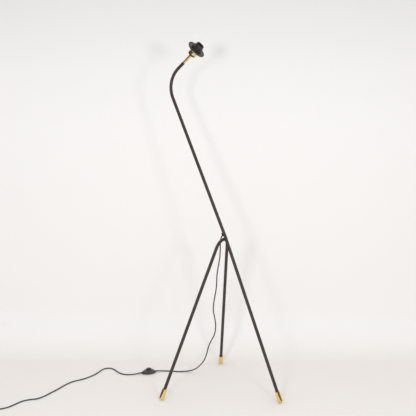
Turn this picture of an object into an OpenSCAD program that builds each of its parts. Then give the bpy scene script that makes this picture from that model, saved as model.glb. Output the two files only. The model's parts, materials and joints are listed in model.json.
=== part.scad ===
// Tripod floor lamp: a slender goose-necked stem that runs on into the front leg,
// a hairpin of tube welded on behind as the two rear legs, turned brass feet, a
// brass neck with an E27 lampholder, and a mains lead with a foot switch.
//
// Frame: Z is up and z = 0 is the floor. The stem, the front leg and the head all
// lie in the XZ plane. +X points towards the front foot. The origin is below the
// centre of the standing lamp. Lengths are in millimetres, angles in degrees.
// Leans are measured from the vertical: stem_lean towards -X, neck_lean towards +X.

/* [Tube] */
// Outer diameter of the steel tube
tube_d = 13; // [12.8:0.1:13.2]
// Wall thickness of the steel tube
tube_wall = 1.2; // [1:0.1:1.3]

/* [Stance] */
// Height of the joint where the stem becomes the front leg
joint_z = 640; // [620:5:660]
// Joint to front foot, measured along the floor
front_reach = 257; // [245:1:270]
// Joint to the line of the rear feet, measured along the floor
rear_reach = 162; // [155:1:170]
// Half the distance between the rear feet
rear_half_spread = 232; // [222:1:242]
// Centreline radius of the bend on top of the rear legs
hairpin_r = 44; // [40:1:48]
// Height of the top of the rear legs, on their centreline
apex_z = 632; // [626:1:634]

/* [Stem] */
// Lean of the stem
stem_lean = 24.5; // [23:0.5:26]
// Joint to the corner that the goose neck rounds off
stem_len = 696; // [670:2:720]
// Centreline radius of the goose neck
gooseneck_r = 97; // [90:1:104]
// Centreline radius of the slight bend at the joint
joint_bend_r = 400; // [350:10:450]
// Lean of the head
neck_lean = 51.3; // [49:0.1:54]
// Goose neck corner to the open end of the tube
tip_len = 112; // [104:1:120]

/* [Cable outlet] */
// Joint to the cable outlet's mouth, measured up the stem
outlet_s = 15; // [14:0.5:18]
// Angle between the stem and the cable where it comes out
outlet_angle = 56.5; // [55:0.5:57]
// Radius that the cable bends to inside the outlet
outlet_bend_r = 20; // [19:0.5:20.5]
// Length of the slot in the tube
slot_l = 12.5; // [12:0.5:13]
// Width of the slot in the tube
slot_w = 7.6; // [7.4:0.1:8]

/* [Feet] */
// Outer diameter of a brass foot
foot_d = 21.5; // [19:0.5:23]
// Length of a brass foot
foot_l = 44; // [38:1:50]
// Rounding of a foot's lower rim
foot_round = 5; // [4:0.5:6]
// Solid metal below the end of the tube
foot_floor = 8; // [7:0.5:10]

/* [Neck and lampholder] */
// Diameter of the brass neck
neck_d = 12; // [11.5:0.1:12.4]
// Visible length of the brass neck
neck_l = 45; // [42:1:50]
// Diameter of the lampholder's cap
cap_d = 35; // [34:0.5:35]
// Height of the lampholder's cap
cap_h = 12.5; // [11:0.5:13]
// Outer diameter of the brass sleeve
sleeve_d = 37; // [36.8:0.1:38]
// Height of the sleeve above the visible part of the cap, shade plate included
sleeve_h = 21.5; // [21:0.5:23]
// Outer diameter of the shade plate
plate_d = 79; // [74:1:84]
// Diameter of the outer thread on the lampholder
skirt_thread_d = 39; // [38.8:0.1:39.4]
// Diameter of the lampholder's rim
skirt_rim_d = 34; // [33:0.5:35]
// Bore of the screw shell for an E27 bulb
shell_bore_d = 26.8; // [26.6:0.1:27]
// Outer diameter of the shade ring
ring_d = 46; // [45:0.5:50]
// Travel of the sprung centre contact
contact_travel = 1.4; // [1:0.1:1.6]

/* [Foot switch] */
// Middle of the switch on the floor
switch_pos = [-366, -39];
// Direction of the end that faces the lamp
switch_yaw = 50; // [46:1:54]
// Tip to tip length of the switch housing, before its ends are cut off
switch_l = 66; // [64:1:70]
// Width of the switch housing
switch_w = 34; // [33:1:38]
// Height of the switch housing
switch_h = 17; // [16.5:0.5:19]
// Diameter of the foot button
button_d = 20.8; // [20:0.2:21.4]
// Height of the button's top above the floor
button_top = 23; // [22:0.5:25]
// Travel of the button
button_travel = 3; // [2:0.5:3]

/* [Mains lead] */
// Diameter of the mains lead
cord_d = 5; // [4.8:0.1:5.2]
// Middle of the stored coil on the floor
coil_pos = [-700, -650];
// Radius of the coil, to the middle of its windings
coil_r = 27.5; // [25:0.5:30]

/* [Plug] */
// Where the back of the plug lies on the floor
plug_pos = [-765, -620];
// Direction that the pins point
plug_yaw = 130; // [125:1:135]
// Length of the plug's body
plug_l = 37; // [35:1:40]
// Width of the plug's body
plug_w = 35.5; // [34:0.5:37]
// Thickness of the plug's body
plug_h = 13.7; // [13:0.1:15]
// Distance between the pins
pin_pitch = 19; // [18:0.5:19.5]
// Diameter of a pin
pin_d = 4; // [3.9:0.1:4.8]

/* [Hidden] */
$fn = 64;

// ---- Colours ----
black_paint = [0.11, 0.105, 0.10];
brass_finish = [0.86, 0.66, 0.34];
steel_finish = [0.72, 0.72, 0.74];
phenolic = [0.07, 0.07, 0.075];
rubber_black = [0.09, 0.085, 0.085];
ceramic_white = [0.90, 0.88, 0.84];

// ---- Clearances ----
gap = 0.05;            // between pieces that are fitted together
over = 1;              // how far a cutting tool runs past a face

// ---- The frame's centrelines ----
bend_thinning = 0.04;  // how much thinner a bend is drawn than the runs that cover its ends
bend_lap = 0.6;         // how far a run covers a bend
tube_r = tube_d / 2;
tube_bore_r = tube_r - tube_wall;
front_lean = atan(front_reach / joint_z);
joint_turn = stem_lean - front_lean;
joint_t = joint_bend_r * tan(joint_turn / 2);
goose_turn = stem_lean + neck_lean;
goose_t = gooseneck_r * tan(goose_turn / 2);
// The rear legs' bend touches the back of the front leg.
leg_touch = tube_d + 4 * gap;
apex_x = (joint_z - apex_z - leg_touch * sin(front_lean)) * tan(front_lean)
    - leg_touch * cos(front_lean);
rear_tilt = atan((rear_reach + apex_x) / apex_z);
rear_plane_h = norm([rear_reach + apex_x, apex_z]);
hairpin_mid_h = rear_plane_h - hairpin_r;
rear_splay = atan(rear_half_spread / hairpin_mid_h)
    - asin(hairpin_r / norm([rear_half_spread, hairpin_mid_h]));
rear_len = sqrt(pow(rear_half_spread, 2) + pow(hairpin_mid_h, 2) - pow(hairpin_r, 2));
rear_lean = acos(cos(rear_tilt) * cos(rear_splay));

// ---- The feet ----
foot_r = foot_d / 2;
foot_bore_r = tube_r + gap;
// A foot leans with its leg and stands on its rounded lower rim. This is how far
// along the leg its end face is from the point where the leg's axis meets the floor.
function foot_start(lean) =
    (foot_round * (1 - cos(lean)) + (foot_r - foot_round) * sin(lean)) / cos(lean);

// ---- Centring: the lamp's width is from the goose neck's back to the front foot ----
goose_back = -(stem_len - goose_t) * sin(stem_lean) + gooseneck_r * cos(stem_lean)
    - gooseneck_r - tube_r;
foot_front_edge = front_reach - foot_start(front_lean) * sin(front_lean)
    - foot_round * sin(front_lean) + (foot_r - foot_round) * cos(front_lean) + foot_round;
joint_x = -(goose_back + foot_front_edge) / 2;

// ---- Directions in the XZ plane ----
stem_up = [-sin(stem_lean), 0, cos(stem_lean)];
stem_back = [-cos(stem_lean), 0, -sin(stem_lean)];
neck_up = [sin(neck_lean), 0, cos(neck_lean)];
joint = [joint_x, 0, joint_z];
head_base = joint + stem_len * stem_up + tip_len * neck_up;

// ---- Lampholder heights, measured along the head from the tube's end ----
neck_spigot_l = 20;
neck_bore_r = 3.5;
thread_r = 5;          // M10 x 1 lamp thread
thread_l = 7.5;
cap_z = neck_l;
cap_wall = 2;
cap_floor = 3.5;
cap_lap = 2;           // the sleeve covers this much of the cap
cap_top = cap_z + cap_h;
sleeve_z = cap_top - cap_lap;
plate_z = sleeve_z + sleeve_h;
plate_t = 1.5;
plate_lip = 2;
flange_t = 1.5;
plate_top = plate_z + plate_t;
sleeve_bore_r = cap_d / 2 + gap;
skirt_low_r = sleeve_bore_r - 0.25;
ring_h = 8;
ring_lift = 0.3;       // keeps the turning ring off the plate
thread_lift = 0.7;      // plain stretch between the ring and the visible thread
thread_z = plate_top + ring_lift + ring_h + thread_lift;
skirt_thread_l = 9;
rim_z = thread_z + skirt_thread_l;
skirt_h = 26.5;        // from the plate to the mouth
mouth_z = plate_top + skirt_h;
skirt_groove = 0.4;    // the thread's stretch under the ring is turned down by this
skirt_bore_r = 14.6;
insert_lift = 3;       // room for the cores under the ceramic
insert_z = cap_top + insert_lift;
insert_h = 18;
insert_r = 14.5;
insert_top = insert_z + insert_h;
shell_z = insert_top;
shell_l = 15.5;        // the skirt guards the rest of the way to the mouth
shell_t = 0.6;
shell_r = shell_bore_d / 2;
shell_step = 4;        // its lowest part is drawn in, round the centre contact
shell_step_r = shell_r - 1.2;
shell_floor_r = 9;     // opening in its floor
contact_r = 3.5;
contact_pin_r = 1.5;
contact_stop = 0.3;    // between the ceramic and the contact pressed home
contact_pin_l = 9;     // the pin's length in the ceramic, pressed home
contact_z = insert_top + contact_travel + contact_stop;
contact_h = 2;
sleeve_screw_z = sleeve_z + 8.5;
sleeve_screw_r = 1.5;
sleeve_screw_angle = -60;
terminal_x = 8.5;
terminal_head_r = 3;
terminal_head_h = 2.5;
terminal_sunk = 0.3;   // the head's face below the ceramic's
terminal_shank_r = 1.7;
terminal_shank_l = 6;
terminal_hole_h = 9;
head_play = 0.2;       // round a screw's head
cap_screw_r = 1;
cap_screw_l = 7.5;

// ---- Foot switch ----
split_z = 6;           // height of the seam, and of the lead where it enters
shell_wall = 2;
switch_end = 30;       // half length after the tips are cut off
button_r = button_d / 2;
button_bottom = 11;
button_wall = 2;
contact_play = 0.4;    // over the fixed contacts when the button is down
contact_block_h = button_bottom - button_travel - shell_wall - contact_play;
flange_h = 1.5;
button_flange_r = 12;
button_flange_play = 0.4;
button_ceiling_z = button_bottom + flange_h + button_flange_play;
button_play = 0.3;     // round the button in the cover
button_round = 1;
end_h = 3.6;           // the cover's height above the seam at its cut-off ends
spring_mean_r = 3.4;
spring_wire_r = 0.4;
spring_turns = 6;
spring_foot_z = shell_wall + spring_wire_r + 0.1;
spring_head_z = button_top - button_wall - 0.1 - spring_wire_r;
relief_in = 12;
relief_out = 12;
relief_r = 3.3;
screw_post_r = 2.6;
screw_spots = [[17, 4.6], [-17, -4.6]];
screw_head_r = 2;
screw_head_h = 1.4;
screw_sunk = 0.4;      // the head's face above the floor
screw_shank_r = 1.05;
screw_shank_l = 9;
screw_hole_r = 1.3;
screw_pilot_r = 1.1;
screw_pilot_h = 6;
relief_tip_wall = 0.5;

// ---- Mains lead ----
cord_r = cord_d / 2;
cord_sides = 10;
outlet_w = outlet_bend_r * (1 - cos(outlet_angle));
outlet = joint + outlet_s * stem_up + outlet_w * stem_back;
slot_s = outlet_s + 3; // middle of the slot, measured up the stem
outlet_dir_lean = outlet_angle - stem_lean;
outlet_dir = [-sin(outlet_dir_lean), 0, -cos(outlet_dir_lean)];
function switch_point(x) =
    [switch_pos[0] + x * cos(switch_yaw), switch_pos[1] + x * sin(switch_yaw), split_z];
relief_tip = switch_end + relief_out;
lead_z = cord_r;       // the lead's centre when it lies on the floor

// From the outlet, down behind the rear legs' bend, along the floor to the switch
drop_route = concat([outlet, outlet + 12 * outlet_dir], [
    [-20, 0, 630], [-22, 1, 615], [-23, 2, 590], [-25, 3, 560],
    [-31, 6, 533], [-38, 9, 506], [-44, 12, 480], [-46, 13, 454], [-49, 15, 427],
    [-54, 17, 400], [-62, 21, 372], [-68, 24, 345], [-69, 24, 318], [-62, 21, 294],
    [-55, 18, 270], [-54, 17, 245], [-63, 21, 214], [-84, 31, 182], [-103, 40, 149],
    [-116, 44, 112], [-131, 47, 80], [-150, 53, 56], [-170, 61, 37], [-192, 69, 20],
    [-214, 68, 9], [-239, 55, 4], [-265, 41, lead_z], [-290, 30, lead_z],
    [-312, 18, lead_z + 0.5]
], [switch_point(relief_tip + 12) - [0, 0, 1.5], switch_point(relief_tip)]);

// From the switch along the floor to the coil
coil_in_angle = -49;
coil_out_angle = 220;
coil_lift = 0.6;       // the tie's thickness below the coil
layer_h = cord_d * sin(60);
coil_in_r = coil_r + cord_d;
coil_out_r = coil_r + cord_r;
coil_in = [coil_pos[0] + coil_in_r * cos(coil_in_angle),
    coil_pos[1] + coil_in_r * sin(coil_in_angle), lead_z + coil_lift];
coil_out = [coil_pos[0] + coil_out_r * cos(coil_out_angle),
    coil_pos[1] + coil_out_r * sin(coil_out_angle), lead_z + coil_lift + layer_h];
floor_route = concat([switch_point(-relief_tip), switch_point(-relief_tip - 12) - [0, 0, 1.5]], [
    [-420, -99, lead_z + 0.5], [-443, -111, lead_z], [-468, -112, lead_z],
    [-493, -104, lead_z], [-518, -94, lead_z], [-542, -90, lead_z], [-559, -101, lead_z],
    [-564, -124, lead_z], [-559, -152, lead_z], [-555, -186, lead_z], [-557, -220, lead_z],
    [-565, -252, lead_z], [-577, -277, lead_z], [-584, -306, lead_z], [-583, -345, lead_z],
    [-579, -385, lead_z], [-577, -430, lead_z], [-576, -468, lead_z], [-583, -494, lead_z],
    [-601, -515, lead_z], [-614, -540, lead_z], [-617, -575, lead_z], [-620, -608, lead_z],
    [-632, -632, lead_z], [-653, -652, lead_z]
], [coil_in]);

// From the coil to the plug
plug_relief_l = 22;
plug_relief_r = 4;     // where it enters the plug
plug_relief_in = 8;
pin_root_l = 12;
pin_core_r = 1.5;
pin_sleeve_l = 10;
pin_tip_l = 8;
function plug_point(x) = [plug_pos[0] + x * cos(plug_yaw), plug_pos[1] + x * sin(plug_yaw),
    plug_h / 2];
tail_route = [coil_out, coil_out + [-8, 10, 0.7], plug_point(-plug_relief_l - 12),
    plug_point(-plug_relief_l)];

coil_windings_w = 3 * cord_d;
coil_windings_h = cord_d + layer_h;
tie_t = 0.6;
tie_w = 8;
tie_angle = 80;

// ---- Tube laid out like a bent rod: each piece carries the next on its end ----
// A straight run covers the first and the last bit of the bends on its ends.
module run(radius, length, lap_before, lap_after) {
    translate([0, 0, -lap_before])
        cylinder(r = radius, h = lap_before + length + lap_after);
    translate([0, 0, length]) children();
}

// A bend that starts along +Z and turns towards +X, drawn a hair thinner than a run
module turn(radius, bend_r, angle) {
    translate([bend_r, 0, 0]) rotate([-90, 0, 0]) rotate([0, 0, 180])
        rotate_extrude(angle = angle) translate([bend_r, 0]) circle(r = radius - bend_thinning);
    translate([bend_r, 0, 0]) rotate([0, angle, 0]) translate([-bend_r, 0, 0]) children();
}

module half_turn_about_z() {
    rotate([0, 0, 180]) children();
}

// A round solid along the stem and the front leg, from inside the front foot
module stem_path(radius, ends) {
    start = foot_start(front_lean) + foot_floor;
    leg_run = norm([front_reach, joint_z]) - start - joint_t;
    translate([joint_x + front_reach, 0, 0]) rotate([0, -front_lean, 0])
        translate([0, 0, start])
        run(radius, leg_run, ends, bend_lap) half_turn_about_z()
        turn(radius, joint_bend_r, joint_turn) half_turn_about_z()
        run(radius, stem_len - joint_t - goose_t, bend_lap, bend_lap)
        turn(radius, gooseneck_r, goose_turn)
        run(radius, tip_len - goose_t, bend_lap, ends);
}

// The plane of the rear legs, with its origin between the rear feet
module in_rear_plane() {
    translate([joint_x - rear_reach, 0, 0]) rotate([0, rear_tilt, 0]) children();
}

// Along a rear leg, from the point where its axis meets the floor
module on_rear_leg(side) {
    in_rear_plane() translate([0, side * rear_half_spread, 0])
        rotate([side * rear_splay, 0, 0]) children();
}

module hairpin_path(radius, ends) {
    start = foot_start(rear_lean) + foot_floor;
    for (side = [-1, 1])
        on_rear_leg(side) translate([0, 0, start])
            run(radius, rear_len - start, ends, bend_lap);
    in_rear_plane() translate([0, 0, hairpin_mid_h]) rotate([90, 0, 90])
        rotate([0, 0, rear_splay]) rotate_extrude(angle = 180 - 2 * rear_splay)
        translate([hairpin_r, 0]) circle(r = radius - bend_thinning);
}

// The cable's path, from the outlet up the stem and round the goose neck
module cable_path(radius, length_past_tip) {
    up_run = stem_len - goose_t - outlet_s - outlet_bend_r * sin(outlet_angle);
    translate(outlet) rotate([0, outlet_dir_lean, 0]) half_turn_about_z()
        turn(radius, outlet_bend_r, outlet_angle) half_turn_about_z()
        run(radius, up_run, bend_lap, bend_lap)
        turn(radius, gooseneck_r, goose_turn)
        run(radius, tip_len - goose_t + length_past_tip, bend_lap, 0);
}

// Z up the stem, -X towards its back, from the joint
module at_stem(s) {
    translate(joint) rotate([0, -stem_lean, 0]) translate([0, 0, s]) children();
}

// Z along the head, from the open end of the tube
module at_head(z) {
    translate(head_base) rotate([0, neck_lean, 0]) translate([0, 0, z]) children();
}

// A flat oval, length along Y once it is turned to point out of the stem's back
module oval_bar(length, width, from_axis, to_axis) {
    rotate([0, -90, 0]) translate([0, 0, from_axis])
        linear_extrude(to_axis - from_axis)
        union() {
            square([length - width, width], center = true);
            for (end = [-1, 1])
                translate([end * (length - width) / 2, 0]) circle(d = width);
        }
}

module ring_of(outer_r, inner_r, height) {
    difference() {
        cylinder(r = outer_r, h = height);
        translate([0, 0, -over]) cylinder(r = inner_r, h = height + 2 * over);
    }
}

// ---- Swept tube along a list of points ----
function unit(v) = v / norm(v);
function heading(p, i) = unit(p[min(i + 1, len(p) - 1)] - p[max(i - 1, 0)]);
function ring_points(centre, dir, ref, radius, sides) =
    let (across = unit(cross(dir, ref)), other = cross(across, dir))
    [for (k = [0:sides - 1])
        centre + radius * (cos(360 * k / sides) * across + sin(360 * k / sides) * other)];

module swept_tube(route, radius, sides, ref) {
    rings = len(route);
    points = [for (i = [0:rings - 1])
        each ring_points(route[i], heading(route, i), ref, radius, sides)];
    walls = [for (i = [0:rings - 2], k = [0:sides - 1])
        let (n = (k + 1) % sides, a = i * sides, b = a + sides)
        each [[a + k, a + n, b + n], [a + k, b + n, b + k]]];
    first_cap = [for (k = [0:sides - 1]) sides - 1 - k];
    last_cap = [for (k = [0:sides - 1]) (rings - 1) * sides + k];
    polyhedron(points, concat(walls, [first_cap, last_cap]), convexity = 6);
}

// ---- Frame ----
module main_tube() {
    color(black_paint)
    difference() {
        stem_path(tube_r, 0);
        stem_path(tube_bore_r, over);
        at_stem(slot_s) oval_bar(slot_l, slot_w, 0, tube_r + over);
    }
}

module rear_legs() {
    color(black_paint)
    difference() {
        hairpin_path(tube_r, 0);
        hairpin_path(tube_bore_r, over);
    }
}

// Fillets of weld metal above and below the line where the tubes touch
module frame_weld() {
    $fn = 160;
    bead_r = 4.4;
    bead_l = 14;
    down_leg = (joint_z - apex_z - leg_touch * sin(front_lean)) / cos(front_lean);
    color(black_paint)
    difference() {
        translate(joint) rotate([0, -front_lean, 0])
            translate([-tube_r, bead_l / 2, -down_leg])
            rotate([90, 0, 0]) cylinder(r = bead_r, h = bead_l);
        stem_path(tube_r, 0);
        hairpin_path(tube_r, 0);
    }
}

module cable_grommet() {
    lip_l = slot_l + 3;
    lip_w = slot_w + 2.4;
    lip_drop = 0.8;        // the lip reaches further down than up
    lip_start = 3;         // inside the tube's wall, which is cut away from it
    lip_face = outlet_w - 1;
    plug_start = tube_bore_r - 1;
    plug_end = tube_r + 1.2;
    lead_l = 5;            // of the straight lead outside the outlet
    color(rubber_black)
    difference() {
        at_stem(slot_s) union() {
            difference() {
                translate([0, 0, -lip_drop]) oval_bar(lip_l, lip_w, lip_start, lip_face);
                translate([0, 0, -slot_l]) cylinder(r = tube_r, h = 2 * slot_l);
            }
            oval_bar(slot_l - 4 * gap, slot_w - 4 * gap, plug_start, plug_end);
        }
        cable_path(cord_r + gap, 0);
        translate(outlet) rotate([0, outlet_dir_lean, 0])
            translate([0, 0, -lead_l]) cylinder(r = cord_r + gap, h = lead_l + over);
    }
}

// ---- Feet: turned brass caps with a rounded lower rim ----
module foot() {
    chamfer = 0.8;
    color(brass_finish)
    difference() {
        rotate_extrude() union() {
            square([foot_r - foot_round, foot_l]);
            translate([0, foot_round]) polygon([
                [0, 0], [foot_r, 0], [foot_r, foot_l - foot_round - chamfer],
                [foot_r - chamfer, foot_l - foot_round], [0, foot_l - foot_round]
            ]);
            translate([foot_r - foot_round, foot_round]) circle(r = foot_round);
        }
        translate([0, 0, foot_floor]) cylinder(r = foot_bore_r, h = foot_l);
    }
}

module foot_front() {
    translate([joint_x + front_reach, 0, 0]) rotate([0, -front_lean, 0])
        translate([0, 0, foot_start(front_lean)]) foot();
}

module foot_rear(side) {
    on_rear_leg(side) translate([0, 0, foot_start(rear_lean)]) foot();
}

module foot_rear_left() {
    foot_rear(-1);
}

module foot_rear_right() {
    foot_rear(1);
}

// ---- Neck and lampholder ----
module neck_tube() {
    color(brass_finish)
    at_head(0) difference() {
        union() {
            translate([0, 0, -neck_spigot_l])
                cylinder(r = tube_bore_r - gap, h = neck_spigot_l);
            cylinder(d = neck_d, h = neck_l);
            translate([0, 0, neck_l]) cylinder(r = thread_r, h = thread_l);
        }
        translate([0, 0, -neck_spigot_l - over])
            cylinder(r = neck_bore_r, h = neck_spigot_l + neck_l + thread_l + 2 * over);
    }
}

module lock_nut() {
    nut_flats = 14;
    nut_h = 3;
    color(steel_finish)
    at_head(cap_z + cap_floor) difference() {
        cylinder(d = nut_flats / cos(30), h = nut_h, $fn = 6);
        translate([0, 0, -over]) cylinder(r = thread_r + gap, h = nut_h + 2 * over);
    }
}

module internal_cable() {
    past_floor = 5;
    color(rubber_black) cable_path(cord_r, cap_z + cap_floor + past_floor);
}

module holder_cap() {
    cap_r = cap_d / 2;
    cap_round = 8;
    shoulder_h = 2.5;      // the hollow is narrower under the rounded shoulder
    shoulder_w = 3;
    color(phenolic)
    at_head(cap_z) difference() {
        rotate_extrude() intersection() {
            square([cap_r, cap_h]);
            union() {
                square([cap_r - cap_round, cap_h]);
                translate([0, cap_round]) square([cap_r, cap_h]);
                translate([cap_r - cap_round, cap_round]) circle(r = cap_round);
            }
        }
        translate([0, 0, cap_floor]) cylinder(r = cap_r - cap_wall - shoulder_w, h = cap_h);
        translate([0, 0, cap_floor + shoulder_h]) cylinder(r = cap_r - cap_wall, h = cap_h);
        translate([0, 0, -over]) cylinder(r = thread_r + gap, h = cap_floor + 2 * over);
        cap_screw_cut();
    }
}

// The hole for the screw that stops the cap from turning on the neck
module cap_screw_cut() {
    translate([0, 0, cap_floor / 2]) rotate([0, 90, 180])
        translate([0, 0, thread_r]) cylinder(r = cap_screw_r + gap, h = cap_d);
}

module cap_screw() {
    color(steel_finish)
    at_head(cap_z + cap_floor / 2) rotate([0, 90, 180])
        translate([0, 0, thread_r + gap]) cylinder(r = cap_screw_r, h = cap_screw_l);
}

module holder_sleeve() {
    color(brass_finish)
    at_head(sleeve_z) difference() {
        union() {
            cylinder(d = sleeve_d, h = sleeve_h);
            translate([0, 0, sleeve_h - flange_t]) cylinder(d = plate_d, h = flange_t);
        }
        translate([0, 0, -over]) cylinder(r = sleeve_bore_r, h = sleeve_h + 2 * over);
        for (k = [0:2])
            rotate([0, 0, sleeve_screw_angle + 120 * k])
                translate([0, 0, sleeve_screw_z - sleeve_z]) rotate([0, 90, 0])
                translate([0, 0, skirt_low_r])
                cylinder(r = sleeve_screw_r + gap, h = sleeve_d / 2);
    }
}

module sleeve_screws() {
    proud = 0.4;           // the heads stand this far out of the sleeve
    socket_r = 0.75;
    socket_bottom = 1;
    color(steel_finish)
    at_head(sleeve_screw_z)
        for (k = [0:2])
            rotate([0, 0, sleeve_screw_angle + 120 * k]) rotate([0, 90, 0])
                translate([0, 0, skirt_low_r]) difference() {
                    cylinder(r = sleeve_screw_r, h = sleeve_d / 2 - skirt_low_r + proud);
                    translate([0, 0, socket_bottom]) cylinder(r = socket_r, h = sleeve_d);
                }
}

module shade_plate() {
    lip_w = 2;
    color(phenolic)
    at_head(plate_z) difference() {
        cylinder(d = plate_d, h = plate_t + plate_lip);
        translate([0, 0, plate_t]) cylinder(d = plate_d - 2 * lip_w, h = plate_lip + over);
        translate([0, 0, -over]) cylinder(r = sleeve_bore_r, h = plate_t + 2 * over);
    }
}

module shade_ring() {
    grips = 24;
    grip_r = 1.4;
    grip_out = 0.6;        // the grips' centres, outside the ring's rim
    grip_z = 1.5;
    thread_play = 0.35;
    color(phenolic)
    at_head(plate_top + ring_lift) difference() {
        cylinder(d = ring_d, h = ring_h);
        translate([0, 0, -over])
            cylinder(r = skirt_thread_d / 2 + thread_play, h = ring_h + 2 * over);
        for (k = [0:grips - 1])
            rotate([0, 0, 360 * k / grips]) translate([ring_d / 2 + grip_out, 0, grip_z])
                cylinder(r = grip_r, h = ring_h);
    }
}

module holder_skirt() {
    color(phenolic)
    at_head(0) difference() {
        union() {
            translate([0, 0, cap_top]) cylinder(r = skirt_low_r, h = plate_top - cap_top);
            translate([0, 0, plate_top])
                cylinder(r = skirt_thread_d / 2 - skirt_groove, h = thread_z - plate_top);
            translate([0, 0, thread_z]) cylinder(d = skirt_thread_d, h = skirt_thread_l);
            translate([0, 0, rim_z]) cylinder(d = skirt_rim_d, h = mouth_z - rim_z);
        }
        translate([0, 0, cap_top - over])
            cylinder(r = skirt_bore_r, h = mouth_z - cap_top + 2 * over);
    }
}

module terminal_insert() {
    well_r = 4;
    well_h = 7;
    color(ceramic_white)
    at_head(insert_z) difference() {
        cylinder(r = insert_r, h = insert_h);
        translate([0, 0, -over]) cylinder(r = contact_pin_r + gap, h = insert_h + 2 * over);
        translate([0, 0, -over]) cylinder(r = well_r, h = well_h + over);
        for (side = [-1, 1])
            translate([side * terminal_x, 0, -over]) {
                cylinder(r = terminal_shank_r + gap, h = terminal_hole_h + over);
                cylinder(r = terminal_head_r + head_play, h = terminal_head_h + over);
            }
    }
}

module screw_shell() {
    color(brass_finish)
    at_head(shell_z) union() {
        ring_of(shell_step_r + shell_t, shell_floor_r, shell_t);
        ring_of(shell_step_r + shell_t, shell_step_r, shell_step);
        translate([0, 0, shell_step - shell_t]) {
            ring_of(shell_r + shell_t, shell_step_r, shell_t);
            ring_of(shell_r + shell_t, shell_r, shell_l - shell_step + shell_t);
        }
    }
}

// Brass button on a pin that slides in the ceramic
module centre_contact() {
    pin_l = contact_travel + contact_stop + contact_pin_l;
    color(brass_finish)
    at_head(contact_z) union() {
        cylinder(r = contact_r, h = contact_h);
        translate([0, 0, -pin_l]) cylinder(r = contact_pin_r, h = pin_l);
    }
}

module terminal_screws() {
    color(brass_finish)
    at_head(insert_z)
        for (side = [-1, 1])
            translate([side * terminal_x, 0, 0]) union() {
                translate([0, 0, terminal_sunk])
                    cylinder(r = terminal_head_r, h = terminal_head_h - terminal_sunk);
                translate([0, 0, terminal_head_h])
                    cylinder(r = terminal_shank_r, h = terminal_shank_l);
            }
}

// ---- Foot switch: a lens-shaped housing, lying on the floor ----
module at_switch() {
    translate([switch_pos[0], switch_pos[1], 0]) rotate([0, 0, switch_yaw]) children();
}

// Upright lens with arched top. inset is how far inside the outer surface it lies.
module switch_form(inset) {
    half_l = switch_l / 2;
    half_w = switch_w / 2;
    side_r = (pow(half_l, 2) + pow(half_w, 2)) / switch_w;
    end_drop = switch_h - split_z - end_h;
    top_r = (pow(switch_end, 2) + pow(end_drop, 2)) / (2 * end_drop);
    end = switch_end - inset;
    intersection() {
        translate([0, half_w - side_r, inset]) cylinder(r = side_r - inset, h = switch_h);
        translate([0, side_r - half_w, inset]) cylinder(r = side_r - inset, h = switch_h);
        translate([-end, -half_w, inset]) cube([2 * end, switch_w, switch_h]);
        translate([0, half_w, switch_h - top_r]) rotate([90, 0, 0])
            cylinder(r = top_r - inset, h = switch_w);
    }
}

module slab(z0, z1) {
    translate([-switch_l, -switch_w, z0]) cube([2 * switch_l, 2 * switch_w, z1 - z0]);
}

// The round way for the lead and its strain relief, at both ends
module lead_ways(radius) {
    for (side = [-1, 1])
        translate([side * (switch_end - relief_in), 0, split_z])
            rotate([0, side * 90, 0]) cylinder(r = radius, h = relief_in + over);
}

module switch_base() {
    spigot_r = spring_mean_r - 0.8;
    spigot_h = 4;          // holds the foot of the spring
    cradle_x = 24;         // cradles that hold the strain reliefs down
    cradle_t = 3;
    color(phenolic)
    at_switch() difference() {
        union() {
            difference() {
                intersection() {
                    switch_form(0);
                    slab(0, split_z);
                }
                switch_form(shell_wall);
            }
            intersection() {
                switch_form(0);
                union() {
                    for (p = screw_spots)
                        translate([p[0], p[1], over])
                            cylinder(r = screw_post_r, h = split_z - over);
                    translate([0, 0, over]) cylinder(r = spigot_r, h = spigot_h);
                    for (side = [-1, 1])
                        translate([side * cradle_x, 0, split_z / 2])
                            cube([cradle_t, 2 * relief_r, split_z], center = true);
                }
            }
        }
        lead_ways(relief_r + gap);
        for (p = screw_spots)
            translate([p[0], p[1], -over]) {
                cylinder(r = screw_hole_r, h = split_z + 2 * over);
                cylinder(r = screw_head_r + head_play, h = screw_sunk + screw_head_h + over);
            }
    }
}

module switch_cover() {
    color(phenolic)
    at_switch() difference() {
        union() {
            difference() {
                intersection() {
                    switch_form(0);
                    slab(split_z, switch_h + over);
                }
                switch_form(shell_wall);
            }
            intersection() {
                switch_form(0);
                union() {
                    for (p = screw_spots)
                        translate([p[0], p[1], split_z])
                            difference() {
                                cylinder(r = screw_post_r, h = switch_h);
                                translate([0, 0, -over])
                                    cylinder(r = screw_pilot_r, h = screw_pilot_h);
                            }
                }
            }
        }
        lead_ways(relief_r + gap);
        translate([0, 0, split_z]) cylinder(r = button_r + button_play, h = switch_h);
        translate([0, 0, split_z - over])
            cylinder(r = button_flange_r + button_flange_play,
                h = button_ceiling_z - split_z + over);
    }
}

module switch_button() {
    color(phenolic)
    at_switch() difference() {
        union() {
            translate([0, 0, button_bottom])
                cylinder(r = button_r, h = button_top - button_bottom - button_round);
            translate([0, 0, button_top - button_round])
                cylinder(r = button_r - button_round, h = button_round);
            translate([0, 0, button_top - button_round]) rotate_extrude()
                translate([button_r - button_round, 0]) circle(r = button_round);
            translate([0, 0, button_bottom]) cylinder(r = button_flange_r, h = flange_h);
        }
        translate([0, 0, button_bottom - over])
            cylinder(r = button_r - button_wall, h = button_top - button_wall - button_bottom + over);
    }
}

module switch_spring() {
    steps = 12;
    rise = (spring_head_z - spring_foot_z) / (spring_turns * steps);
    route = [for (i = [0:spring_turns * steps])
        [spring_mean_r * cos(360 * i / steps), spring_mean_r * sin(360 * i / steps),
            spring_foot_z + rise * i]];
    color(steel_finish) at_switch() swept_tube(route, spring_wire_r, 8, [0, 0, 1]);
}

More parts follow.
